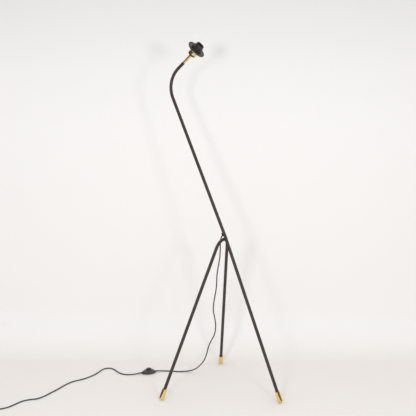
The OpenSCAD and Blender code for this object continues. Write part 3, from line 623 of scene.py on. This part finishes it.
def grommet():
    """Rubber grommet in the slot on the stem's back. Its lip lies on the tube and its middle holds the lead."""
    low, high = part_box("cable_grommet")
    middle = (low + high) / 2
    back = Vector((-math.cos(STEM_LEAN), 0, -math.sin(STEM_LEAN)))
    up = Vector((-math.sin(STEM_LEAN), 0, math.cos(STEM_LEAN)))
    place = Matrix((back.cross(up) * -1, up, back)).transposed().to_4x4()
    off_axis = 7.96                 # the lip's outer face, from the stem's axis
    centre_out = (high - low).dot(Vector((1, 0, 0))) / 2
    origin = middle + back * (off_axis * MM - centre_out)
    place = Matrix.Translation(origin) @ place
    steps = 6
    lip = [(12.1, 7.2, -3.8), (12.1, 7.2, -1.6), (14.3, 9.0, -1.65), (15.1, 9.8, -1.25)]
    for k in range(steps + 1):
        turn = math.pi / 2 * k / steps
        drawn_in = 1.7 * (1 - math.cos(turn))
        lip.append((15.3 - drawn_in, 10.0 - drawn_in, -0.9 + 0.9 * math.sin(turn)))
    bore = turned("grommet_bore", rounded([
        (0, -12), (2.56, -12), (2.56, 2.0, 3.0), (5.4, 4.0), (0, 4.0)]), 40)
    way = axes_matrix(outlet - outlet_way * 1.2 * MM, outlet_way, up)
    mesh = cut("cable_grommet_soft", oval_block("grommet_blank", lip), [(bore, place.inverted() @ way)])
    put("grommet", mesh, GROMMET_RUBBER, LAMP, ["cable_grommet"], place)


weld_bead()


# ---- feet
FOOT_R, FOOT_L, FOOT_FLOOR, FOOT_BORE_R = 10.75, 44, 8, 6.57
REAR_TILT = math.radians(13.46)
REAR_HALF_SPREAD = 232           # half the distance between the rear feet, millimetres
BEND_MID_H = 605.8               # the middle of the bend on top of the rear legs, measured up their plane
BEND_R = 44
REAR_SPLAY = (math.atan2(REAR_HALF_SPREAD, BEND_MID_H)
              - math.asin(BEND_R / math.hypot(REAR_HALF_SPREAD, BEND_MID_H)))


def rear_axis(side):
    """Direction up a rear leg. The two lean back in one plane and splay in it."""
    in_plane = Vector((math.sin(REAR_TILT), 0, math.cos(REAR_TILT))) * math.cos(REAR_SPLAY)
    return in_plane - Vector((0, side, 0)) * math.sin(REAR_SPLAY)


def place_foot(name, way):
    """Stands the foot on the floor under its CAD node's box, leaning the way its leg does."""
    low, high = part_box(name)
    outline = rounded([
        (0, 0), (FOOT_R, 0, 5.0), (FOOT_R, 20), (FOOT_R, FOOT_L, 0.8), (8.3, FOOT_L, 0.4),
        (FOOT_BORE_R, FOOT_L - 0.7, 0.25), (FOOT_BORE_R, FOOT_FLOOR), (0, FOOT_FLOOR),
    ], 9)
    mesh = turned(name + "_cap", outline, 112)
    turn = axes_matrix((0, 0, 0), way, (1, 0, 0)).to_3x3()
    spots = [turn @ v.co for v in mesh.vertices]
    own_low = Vector([min(p[i] for p in spots) for i in range(3)])
    own_high = Vector([max(p[i] for p in spots) for i in range(3)])
    shift = (low + high - own_low - own_high) / 2
    place = Matrix.Translation(shift) @ turn.to_4x4()
    put(name + "_cap", mesh, FOOT_BRASS, LAMP, [name], place)


place_foot("foot_front", Vector((-math.sin(FRONT_LEAN), 0, math.cos(FRONT_LEAN))))
place_foot("foot_rear_left", rear_axis(-1))
place_foot("foot_rear_right", rear_axis(1))
grommet()


# ---- neck and lampholder, along the head's axis
def at_head(name, points, material, body, nodes, segments=96, wobble=None, smooth_angle=38):
    return put(name, turned(name, points, segments, wobble), material, body, nodes, HEAD, smooth_angle)


def neck():
    outline = rounded([
        (3.5, -20, 0.3), (5.25, -20, 0.3), (5.25, -0.2), (5.25, 0.0), (5.7, 0.0, 0.2), (6.0, 0.5, 0.4), (6.0, 24),
        (6.0, 44.6, 0.3), (5.0, 45, 0.1),
    ], 4) + climb(5, 45.1, 52.4, 60) + [(4.4, 52.5), (3.5, 52.5)]
    at_head("brass_neck", outline, HEAD_BRASS, LAMP, ["neck_tube"], 96,
            thread(5, 45.1, 52.4, 1.0, 0.45))


def cap():
    """The holder's cap: well rounded shoulder, a boss round the neck, and a shadow groove where the sleeve begins."""
    outline = rounded([
        (5.1, 44.6, 0.3), (8.0, 44.6, 0.8), (8.8, 45.2, 0.6), (9.4, 45.02), (17.5, 45.02, 8.0), (17.5, 55.1, 0.3),
        (17.2, 55.5, 0.2), (17.2, 57.5, 0.2), (15.5, 57.5), (15.5, 51.0, 2.4), (12.5, 48.5, 0.5), (5.1, 48.5),
    ], 9)
    screw_way = axes_matrix((0, 0, 46.75 * MM), (-1, 0, 0), (0, 0, 1))
    hole = turned("cap_hole", [(0, 5), (1.06, 5), (1.06, 20), (0, 20)], 24)
    blank = turned("cap_blank", outline, 96)
    mesh = cut("holder_cap_moulded", blank, [(hole, screw_way)])
    put("holder_cap_moulded", mesh, HOLDER_BLACK, LAMP, ["holder_cap"], HEAD)


def sleeve():
    """Spun brass sleeve with a wide flange under the plate, and three holes for its screws."""
    outline = rounded([
        (17.55, 55.5, 0.2), (18.5, 55.5, 0.35), (18.5, 58), (18.5, 73), (18.5, 75.5, 1.1), (39.5, 75.5, 0.5),
        (39.5, 77, 0.3), (17.55, 77),
    ], 5)
    holes = []
    for k in range(3):
        a = math.radians(-60 + 120 * k)
        way = axes_matrix((0, 0, 64 * MM), (math.cos(a), math.sin(a), 0), (0, 0, 1))
        holes.append((turned("sleeve_hole", [(0, 15), (1.56, 15), (1.56, 22), (0, 22)], 28), way))
    mesh = cut("brass_sleeve", turned("sleeve_blank", outline, 128), holes)
    put("brass_sleeve", mesh, HEAD_BRASS, LAMP, ["holder_sleeve"], HEAD)


def plate():
    """Shade plate: a pressed disc whose rim is turned up and rounded, with one shallow pressed ring."""
    outline = rounded([
        (17.56, 77.02), (39.2, 77.02, 0.35), (39.5, 77.4, 0.3), (39.5, 80.5, 0.95), (37.5, 80.5, 0.95),
        (37.5, 78.5, 0.8), (34.6, 78.5, 0.3), (34.2, 78.25, 0.3), (32.8, 78.25, 0.3), (32.4, 78.5, 0.3),
        (17.56, 78.5, 0.2),
    ], 5)
    at_head("shade_plate_pressed", outline, PLATE_BLACK, LAMP, ["shade_plate"], 144)


def ring():
    """Threaded ring with scalloped grips."""
    grips, grip_low, grip_r, thread_r = 24, 79.9, 23, 19.85
    inside = thread(thread_r, 78.9, 86.7, 2.5, -0.25)

    def scallop(r, z, a):
        if r < grip_r - 1 or z < grip_low:
            return inside(r, z, a)
        dip = 0.5 + 0.5 * math.cos(grips * a)
        rise = min(1, (z - grip_low) / 0.8)
        return r - 0.85 * dip ** 2.2 * rise

    outer = [(22.55, 78.8), (22.85, 78.9), (grip_r, 79.2)]
    outer += [(grip_r, grip_low + 5.6 * k / 8) for k in range(9)]
    outer += [(22.95, 85.9), (22.75, 86.35), (22.35, 86.65), (21.8, 86.8), (20.4, 86.8), (20.0, 86.7)]
    inner = list(reversed(climb(thread_r, 78.95, 86.65, 40)))
    at_head("shade_ring_scalloped", outer + inner + [(20.1, 78.8)], HOLDER_BLACK, RING,
            ["shade_ring"], 240, scallop)


def skirt():
    """The threaded black skirt, with a plain rolled rim round the mouth."""
    outline = rounded([(14.6, 57.5), (17.3, 57.5, 0.3), (17.3, 78.5), (19.1, 78.6, 0.2), (19.1, 79.4)], 4)
    outline += climb(19.5, 79.6, 96.3, 108)
    outline += rounded([
        (19.1, 96.4), (18.2, 96.9, 0.5), (17.05, 97.3, 0.6), (17.0, 99), (17.0, 105, 1.3), (14.6, 105, 1.1),
        (14.6, 101),
    ], 7)
    at_head("holder_skirt_threaded", outline, HOLDER_BLACK, LAMP, ["holder_skirt"], 120,
            thread(19.5, 79.6, 96.3, 2.5, 0.85, 0.8))


def screw_shell():
    """Rolled E27 thread above a plain end that is drawn in round the centre contact."""
    pitch, z0, z1 = 3.62, 82.8, 93.8
    inside = thread(13.4, z0, z1, pitch, 0.7)
    outside = thread(13.95, z0, z1, pitch, 0.7)

    def rolled(r, z, a):
        return outside(r, z, a) if r > 13.7 else inside(r, z, a)

    steps = 66
    inner = climb(13.4, 94.0, 82.7, steps) + [(13.2, 82.52), (12.4, 82.5), (12.2, 82.3), (12.2, 79.5)]
    base = [(11.8, 79.12), (11.4, 79.1), (9.0, 79.1), (9.0, 78.52), (12.1, 78.5), (12.6, 78.7), (12.78, 79.1)]
    outer = [(12.78, 81.6), (13.0, 81.9), (13.7, 81.95)] + climb(13.95, 82.2, 94.0, steps)
    at_head("e27_shell", inner + base + outer, CONTACT_BRASS, LAMP, ["screw_shell"], 96, rolled, 50)


def contact():
    outline = rounded([
        (0, 82.2), (2.2, 82.15, 0.6), (3.5, 81.4, 0.7), (3.5, 80.2, 0.3), (1.5, 80.2), (1.5, 69.5, 0.4), (0, 69.5),
    ], 5)
    at_head("centre_contact_domed", outline, CONTACT_BRASS, CONTACT, ["centre_contact"], 64)


for make in (neck, cap, sleeve, plate, ring, skirt, screw_shell, contact):
    make()


# ---- foot switch, in millimetres
HALF_L, HALF_W, SWITCH_H = 33.0, 17.0, 17.0
SWITCH_END = 30.0                # centre to the flat end that cuts the lens off
SHELL_WALL = 2
SEAM_GAP = 0.06                  # between each shell and the seam's plane
LEAD_HOLE_R = 3.35
BUTTON_HOLE_R = 10.7
FLANGE_ROOM_R, FLANGE_ROOM_TOP = 12.4, 12.9     # where the button's flange moves inside the cover
SCREW_SPOTS = ((17, 4.6), (-17, -4.6))
SIDE_R = (HALF_L ** 2 + HALF_W ** 2) / (2 * HALF_W)
END_DROP = SWITCH_H - SEAM - 3.6
ARCH_R = (SWITCH_END ** 2 + END_DROP ** 2) / (2 * END_DROP)


def lens_half_width(x, inset=0.0):
    return math.sqrt(max(0.0, (SIDE_R - inset) ** 2 - x * x)) - (SIDE_R - HALF_W)


def arch_height(x, inset=0.0):
    return SWITCH_H - ARCH_R + math.sqrt(max(0.0, (ARCH_R - inset) ** 2 - x * x))


def lens_shell(name, z_low, z_high, inset, edge, seam_edge=0.0):
    """A closed lens-shaped body from z_low up to z_high, or to the arch if z_high is None, its edge rounded.
    Cross-sections run along X, and the two ends round off into flat faces."""
    end = SWITCH_END - inset
    slices, corner = 64, 7
    verts = []
    stations = [(-end, 0.9), (-end + 0.12, 0.45), (-end + 0.5, 0.1), (-end + 0.9, 0.0)]
    stations += [(-end + 0.9 + (2 * end - 1.8) * k / slices, 0.0) for k in range(1, slices)]
    stations += [(-x, shrink) for x, shrink in reversed(stations[:4])]
    for x, shrink in stations:
        w = lens_half_width(x, inset) - shrink
        top = (arch_height(x, inset) if z_high is None else z_high) - (shrink if z_high is None else 0)
        bottom = z_low + (shrink if z_high is not None else 0)
        r_top = min(edge if z_high is None else seam_edge, w * 0.8)
        r_low = min(edge if z_high is not None else seam_edge, w * 0.8)
        section = []
        for sign_y, sign_z, radius, z in ((1, -1, r_low, bottom), (1, 1, r_top, top),
                                          (-1, 1, r_top, top), (-1, -1, r_low, bottom)):
            for k in range(corner + 1):
                turn = math.pi / 2 * k / corner
                if (sign_y, sign_z) in ((1, -1), (-1, 1)):
                    across, along = math.sin(turn), math.cos(turn)
                else:
                    across, along = math.cos(turn), math.sin(turn)
                section.append((
                    x,
                    sign_y * (w - radius + radius * across),
                    z - sign_z * radius + sign_z * radius * along,
                ))
        verts += [Vector(p) * MM for p in section]
    mesh = mesh_from(name, verts, ring_faces(len(stations), 4 * (corner + 1)))
    bm = bmesh.new()
    bm.from_mesh(mesh)
    bmesh.ops.remove_doubles(bm, verts=bm.verts, dist=1e-6)
    bmesh.ops.dissolve_degenerate(bm, dist=1e-7, edges=bm.edges)
    bmesh.ops.recalc_face_normals(bm, faces=bm.faces)
    bm.to_mesh(mesh)
    bm.free()
    return mesh


def upright_rod(radius, z0, z1, segments=96):
    return turned("rod", [(0, z0), (radius, z0), (radius, z1), (0, z1)], segments)


def lying_rod(radius, x0, x1):
    way = axes_matrix((0, 0, SEAM * MM), (1, 0, 0), (0, 0, 1))
    return turned("rod", [(0, x0), (radius, x0), (radius, x1), (0, x1)], 48), way


def moved(x=0.0, y=0.0):
    return Matrix.Translation((x * MM, y * MM, 0))


def switch():
    lead_holes = [lying_rod(LEAD_HOLE_R, 16, 40), lying_rod(LEAD_HOLE_R, -40, -16)]
    cover = cut("switch_cover_shell", lens_shell("cover_blank", SEAM + SEAM_GAP, None, 0, 3.2, 0.25), [
        (lens_shell("cover_hollow", SEAM - 3, None, SHELL_WALL, 1.6), moved()),
        (upright_rod(BUTTON_HOLE_R, 0, 25), moved()),
        (upright_rod(FLANGE_ROOM_R, 3, FLANGE_ROOM_TOP), moved()),
        *lead_holes,
    ])
    put("switch_cover_shell", cover, SWITCH_BLACK, LAMP, ["switch_cover"], SWITCH, 30)
    base = cut("switch_base_shell", lens_shell("base_blank", 0.0, SEAM - SEAM_GAP, 0, 1.4, 0.25), [
        (lens_shell("base_hollow", SHELL_WALL, SEAM + 3, SHELL_WALL, 0.8), moved()),
        *lead_holes,
        *((upright_rod(2.2, -1, 1.8, 32), moved(x, y)) for x, y in SCREW_SPOTS),
    ])
    put("switch_base_shell", base, SWITCH_BLACK, LAMP, ["switch_base"], SWITCH, 30)

    ridges, ridge_pitch = 8, 1.1
    top = []
    for k in range(ridges):
        r = 8.6 - ridge_pitch * k
        z = 23 - 0.45 * (1 - (r / 9) ** 2)
        top += [(r + 0.30, z), (r + 0.12, z + 0.16), (r - 0.12, z + 0.16), (r - 0.30, z)]
    outline = rounded([(8.4, 11), (12.0, 11, 0.2), (12.0, 12.5, 0.3), (10.4, 12.5, 0.3), (10.4, 18),
                       (10.4, 22.95, 1.0), (9.2, 22.95, 0.2)], 6)
    outline += top + [(0, 22.55), (0, 21), (8.4, 21)]
    put("button_ridged", turned("button_ridged", outline, 128), BUTTON_BLACK, BUTTON,
        ["switch_button"], SWITCH, 30)


def spring():
    """Return spring under the button, with a closed turn at each end. Its foot stays put."""
    mean_r, wire_r, foot_z, head_z = 3.4, 0.4, 2.5, 20.5
    turns, per_turn, sides, closed_rise, travel = 8, 32, 10, 0.86, 3.0
    count = turns * per_turn
    working_rise = (head_z - foot_z - 2 * closed_rise) / (turns - 2)
    heights = [foot_z]
    for k in range(count):
        into = min(k, count - 1 - k) / per_turn - 1      # turns past the closed one
        share = min(1.0, max(0.0, 0.5 + 2 * into))
        heights.append(heights[-1] + (closed_rise + (working_rise - closed_rise) * share) / per_turn)
    stretch = (head_z - foot_z) / (heights[-1] - foot_z)
    verts = []
    for k, z in enumerate(heights):
        a = TAU * k / per_turn
        outward = Vector((math.cos(a), math.sin(a), 0))
        centre = outward * mean_r + Vector((0, 0, foot_z + (z - foot_z) * stretch))
        for n in range(sides):
            b = TAU * n / sides
            verts.append((centre + (outward * math.cos(b) + Vector((0, 0, math.sin(b)))) * wire_r) * MM)
    mesh = mesh_from("spring_coiled", verts, ring_faces(count + 1, sides))
    piece = put("spring_coiled", mesh, STEEL, LAMP, ["switch_spring"], SWITCH)
    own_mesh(piece)


def ribbed_relief(name, node, side):
    """A tapered sleeve with ribs, so that it bends evenly with the lead."""
    outline = [(2.56, 0), (3.3, 0), (3.3, 11.2)]
    ribs, first, last = 5, 11.8, 22.2
    step = (last - first) / ribs
    for k in range(ribs):
        a = first + (last - first) * k / ribs
        r = 3.3 - 0.3 * (a - 11) / 12
        outline += [(r - 0.35, a), (r - 0.35, a + 0.30 * step), (r, a + 0.42 * step), (r, a + 0.92 * step)]
    outline += [(3.05, 22.3), (3.0, 22.8), (2.85, 23.0), (2.56, 23.0)]
    start = SWITCH @ Vector((side * 19 * MM, 0, SEAM * MM))
    way = SWITCH.to_3x3() @ Vector((side, 0, 0))
    put(name, turned(name, outline, 56), RELIEF_RUBBER, LAMP, [node],
        axes_matrix(start, way, (0, 0, 1)))


switch()
spring()
ribbed_relief("relief_sleeve_lamp", "relief_lamp_side", 1)
ribbed_relief("relief_sleeve_mains", "relief_mains_side", -1)


# ---- tie round the coil
def tie():
    """A hook and loop strap drawn tight round the windings, its end lapped over the top."""
    turn = math.radians(80)
    out = Vector((math.cos(turn), math.sin(turn), 0))
    along = Vector((-math.sin(turn), math.cos(turn), 0))
    middle = Vector((COIL_CENTRE.x, COIL_CENTRE.y, 0)) + out * LOWER_RADII[1] * MM
    low, layer = LIE + COIL_LIFT, 4.33
    leads = [Vector((x, low)) for x in (-PITCH, 0, PITCH)]
    leads += [Vector((x, low + layer)) for x in (-PITCH / 2, PITCH / 2)]
    steps, thickness, half_w = 88, 0.54, 4.0
    lap_from, lap_to = math.radians(35), math.radians(205)

    def ring(offset):
        points = []
        for k in range(steps):
            a = TAU * k / steps
            d = Vector((math.cos(a), math.sin(a)))
            seat = max(leads, key=lambda p: p.dot(d)) + d * (LEAD_R / MM + offset)
            points.append((seat, a))
        return points

    verts, faces = [], []

    def spot(p, y):
        return middle + (out * p.x + Vector((0, 0, p.y)) + along * y) * MM

    def strap(inner, outer, closed):
        first = len(verts)
        profile = ((0, -half_w), (0, half_w), (0.25, half_w + 0.12), (0.75, half_w + 0.12), (1, half_w),
                   (1, -half_w), (0.75, -half_w - 0.12), (0.25, -half_w - 0.12))
        for a, b in zip(inner, outer):
            for mix, y in profile:
                verts.append(spot(a.lerp(b, mix), y))
        faces.extend(ring_faces(len(inner), len(profile), first, closed))

    slack = 0.03
    inner, outer, lapped = (ring(slack + k * thickness) for k in range(3))
    strap([p for p, a in inner], [p for p, a in outer], True)
    strap([p for p, a in outer if lap_from < a < lap_to], [p for p, a in lapped if lap_from < a < lap_to], False)
    return put("tie_strap", mesh_from("tie_strap", verts, faces), TIE_NYLON, LAMP, ["coil_tie"])


tie_strap = tie()


# ---- plug
PIN_PITCH = 19


def plug():
    """Flat two-pin plug: round-edged, waisted for the fingers, with grip ridges across its flat faces."""
    half_w, half_h, length = 17.75, PLUG_H / MM / 2, PLUG_L / MM
    stations, around = 44, 72
    verts = []
    for i in range(stations + 1):
        t = i / stations
        z = length * t
        waist = 1.3 * math.sin(math.pi * min(1, t / 0.78)) ** 2
        ease = 1.6
        from_end = min(z, length - z)
        shrink = ease - math.sqrt(max(0.0, ease ** 2 - max(0.0, ease - from_end) ** 2))
        narrow = 5.5 * (1 - min(1, t / 0.42)) ** 2.2
        w = half_w - shrink - waist - narrow
        h = half_h - shrink
        grip = 0.22 * (0.5 + 0.5 * math.cos(TAU * z / 2.4)) if 0.2 < t < 0.62 else 0
        for k in range(around):
            a = TAU * k / around
            shift = (w - h) * (1 if math.sin(a) >= 0 else -1)
            flat = abs(math.sin(a))
            verts.append((h * math.cos(a) * MM, ((h - grip * flat) * math.sin(a) + shift) * MM, z * MM))
    mesh = mesh_from("plug_moulded", verts, ring_faces(stations + 1, around))
    body = put("plug_moulded", mesh, PLUG_BLACK, LAMP, ["plug_body"], PLUG)
    ribs = [(2.54, -PLUG_RELIEF_L), (2.95, -PLUG_RELIEF_L), (3.05, 0.4 - PLUG_RELIEF_L)]
    for k in range(6):
        z = 1 - PLUG_RELIEF_L + 3.2 * k
        r = 3.05 + (z + PLUG_RELIEF_L) / PLUG_RELIEF_L
        ribs += [(r, z), (r + 0.12, z + 1.7), (r - 0.35, z + 2.0), (r - 0.30, z + 2.9)]
    ribs += [(4.0, -1.2), (4.15, 0.4), (4.0, 6), (2.54, 6)]
    relief = put("plug_relief_ribbed", turned("plug_relief_ribbed", ribs, 56), RELIEF_RUBBER, LAMP,
                 ["plug_relief"], PLUG)
    sleeves, pins = [], []
    for side, name in ((-1, "left"), (1, "right")):
        place = PLUG @ Matrix.Translation((0, side * PIN_PITCH / 2 * MM, 0))
        sleeve_outline = rounded([(1.5, 36.6), (2.0, 36.6), (2.0, 47, 0.15), (1.5, 47, 0.1)], 3)
        sleeves.append(put("pin_sleeve_" + name, turned("pin_sleeve", sleeve_outline, 40), PLUG_BLACK, LAMP,
                           ["plug_pin_sleeves"], place))
        pin_outline = rounded([(0, 36), (1.45, 36), (1.45, 47.05), (2.0, 47.1, 0.1), (2.0, 56, 0.9), (0, 56)], 6)
        pins.append(put("pin_" + name, turned("pin", pin_outline, 40), STEEL, LAMP,
                        ["plug_pins"], place))
    return [body, relief, *sleeves, *pins]


plug_pieces = plug()


# ---- CAD nodes that stay
KEPT = (
    (TUBE_BLACK, "black_tube", ("main_tube", "rear_legs")),
    (SHEATH, "lead_sheath", ("internal_cable",)),
    (STEEL, "plated_steel", ("lock_nut", "cap_screw", "sleeve_screws", "switch_screws")),
    (CERAMIC, "white_ceramic", ("terminal_insert",)),
    (CONTACT_BRASS, "contact_brass", ("terminal_screws", "contact_disc", "switch_contacts")),
)
for material, slot_name, nodes in KEPT:
    for node in nodes:
        kept = frame["nodes"][node]
        kept.data.materials.clear()
        kept.data.materials.append(material)


# ---- studio
FORWARD = Vector((-math.sin(VIEW_TURN), math.cos(VIEW_TURN), 0))
SIDEWAYS = Vector((math.cos(VIEW_TURN), math.sin(VIEW_TURN), 0))
FLOOR_PAINT = (0.855, 0.824, 0.803)
FLOOR_R = 16
FLOOR_DROP = 0.0004              # of the floor below z = 0, so that it doesn't lie in the feet's undersides
COVE_DROP = 0.0003
COVE_BEHIND = 0.03               # the back foot to where the floor starts to curve up
COVE_R = 0.20
WALL_H = 4.5
WALL_HALF_W = 5
WORLD_LIGHT = 0.88
LEFT_LIGHT, RIGHT_LIGHT = 12, 24  # degrees to either side of the view
LIGHT_H = 1.17
LIGHT_AWAY = 2.5                 # from the head, along the floor
LIGHT_SIZE = (0.26, 0.30)
LIGHT_AIM = (0, 0, 0.8)
ROOM_ARC, SIDE_ARC = (-95, 78), (-107, -80)     # degrees to the right of the view
ROOM_AWAY, SIDE_AWAY, PANEL_H = 2.3, 1.3, 3.2


def backdrop_material():
    """Floor paint that goes over into wall paint in the cove, the wall with painted shade growing towards its top,
    seen only from the lamp's side.
    """
    s = Shader("backdrop_paint", (0.80, 0.78, 0.76), 0.9, Specular_IOR_Level=0.1)
    split = s.node("ShaderNodeSeparateXYZ")
    s.link(s.coords, split.inputs["Vector"])
    height = s.node("ShaderNodeMapRange")
    height.inputs["From Max"].default_value = 2.4
    s.link(split.outputs["Z"], height.inputs["Value"])
    # From about 1.1 m up to 1.7 m the wall paint darkens: painted shade, where the light falls off up the wall
    tone = s.ramp(height.outputs["Result"], [
        (0.0, FLOOR_PAINT), (0.002, FLOOR_PAINT), (0.04, (0.855, 0.849, 0.842)), (0.45, (0.865, 0.862, 0.857)),
        (0.56, (0.84, 0.838, 0.834)), (0.70, (0.765, 0.764, 0.76))])
    s.color(s.mix(s.scaled(s.noise(1.1, 3), 0.0, 0.02), tone, (0.78, 0.77, 0.76)))
    clear = s.node("ShaderNodeBsdfTransparent")
    facing = s.node("ShaderNodeNewGeometry")
    pick = s.node("ShaderNodeMixShader")
    s.link(facing.outputs["Backfacing"], pick.inputs["Fac"])
    s.link(s.bsdf.outputs["BSDF"], pick.inputs[1])
    s.link(clear.outputs["BSDF"], pick.inputs[2])
    s.link(pick.outputs["Shader"], s.tree.nodes["Material Output"].inputs["Surface"])
    return s.mat


def floor_material():
    s = Shader("floor_paint", FLOOR_PAINT, 0.9, Specular_IOR_Level=0.1)
    s.color(s.mix(s.scaled(s.noise(1.1, 3), 0.0, 0.02), FLOOR_PAINT, (0.78, 0.77, 0.76)))
    return s.mat


def stage_mesh(name, verts, faces, material):
    mesh = mesh_from(name, verts, faces)
    thing = bpy.data.objects.new(name, mesh)
    mesh.materials.append(material)
    into_scene(thing)
    return thing


def reflector(name, material, start, end, radius, steps=24):
    """An upright panel round the lamp, between two angles to the right of the view, seen by reflections only."""
    verts = []
    for k in range(steps + 1):
        turn = math.radians(start + (end - start) * k / steps)
        spot = (SIDEWAYS * math.sin(turn) - FORWARD * math.cos(turn)) * radius
        verts += [spot, spot + Vector((0, 0, PANEL_H))]
    faces = [(2 * k, 2 * k + 2, 2 * k + 3, 2 * k + 1) for k in range(steps)]
    panel = stage_mesh(name, verts, faces, material)
    panel.visible_camera = panel.visible_diffuse = panel.visible_shadow = panel.visible_transmission = False


def studio():
    """Pale floor that curves up into a pale wall just behind the lamp, soft light all round, and two lamps in front
    of the lamp whose shadows fall on the wall."""
    world = bpy.data.worlds.new("World")
    bpy.context.scene.world = world
    world.use_nodes = True
    background = world.node_tree.nodes["Background"]
    background.inputs["Color"].default_value = (1.0, 0.998, 0.994, 1)
    background.inputs["Strength"].default_value = WORLD_LIGHT

    around = 96
    rim = [(FLOOR_R * math.cos(TAU * k / around), FLOOR_R * math.sin(TAU * k / around), -FLOOR_DROP)
           for k in range(around)]
    stage_mesh("floor", rim, [tuple(range(around))], floor_material())

    cove_start = FORWARD * (Vector(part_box("foot_rear_right")[1]).dot(FORWARD) + COVE_BEHIND)
    verts, steps = [], 24
    profile = [(0.0, 0.0)]
    profile += [(COVE_R * math.sin(math.pi / 2 * k / steps), COVE_R * (1 - math.cos(math.pi / 2 * k / steps)))
                for k in range(1, steps + 1)]
    profile.append((COVE_R, WALL_H))
    for back, up in profile:
        for side in (-WALL_HALF_W, WALL_HALF_W):
            verts.append(cove_start + FORWARD * back + SIDEWAYS * side + Vector((0, 0, up - COVE_DROP)))
    faces = [(2 * i, 2 * i + 1, 2 * i + 3, 2 * i + 2) for i in range(len(profile) - 1)]
    backdrop = stage_mesh("backdrop", verts, faces, backdrop_material())
    if backdrop.data.polygons[-1].normal.dot(FORWARD) > 0:
        backdrop.data.flip_normals()
    for face in backdrop.data.polygons:
        face.use_smooth = True

    for name, degrees, power in (("soft_left", -LEFT_LIGHT, 13.0), ("soft_right", RIGHT_LIGHT, 9.0)):
        light = bpy.data.lights.new(name, "AREA")
        light.shape = "RECTANGLE"
        light.size, light.size_y = LIGHT_SIZE
        light.energy = power
        light.color = (1, 0.99, 0.975)
        turn = math.radians(degrees)
        place = HEAD.to_translation() + (SIDEWAYS * math.sin(turn) - FORWARD * math.cos(turn)) * LIGHT_AWAY
        place.z = LIGHT_H
        softbox = bpy.data.objects.new(name, light)
        softbox.location = place
        softbox.rotation_euler = (Vector(LIGHT_AIM) - place).to_track_quat("-Z", "Y").to_euler()
        into_scene(softbox)

    # The unlit room on the viewer's side, in which polished metal and the tubes show their shape
    dark = Shader("unlit_room", (0.15, 0.095, 0.065), 1.0).mat
    reflector("unlit_room", dark, *ROOM_ARC, ROOM_AWAY)
    reflector("unlit_side", dark, *SIDE_ARC, SIDE_AWAY)


studio()
bpy.context.scene.view_settings.view_transform = "Standard"
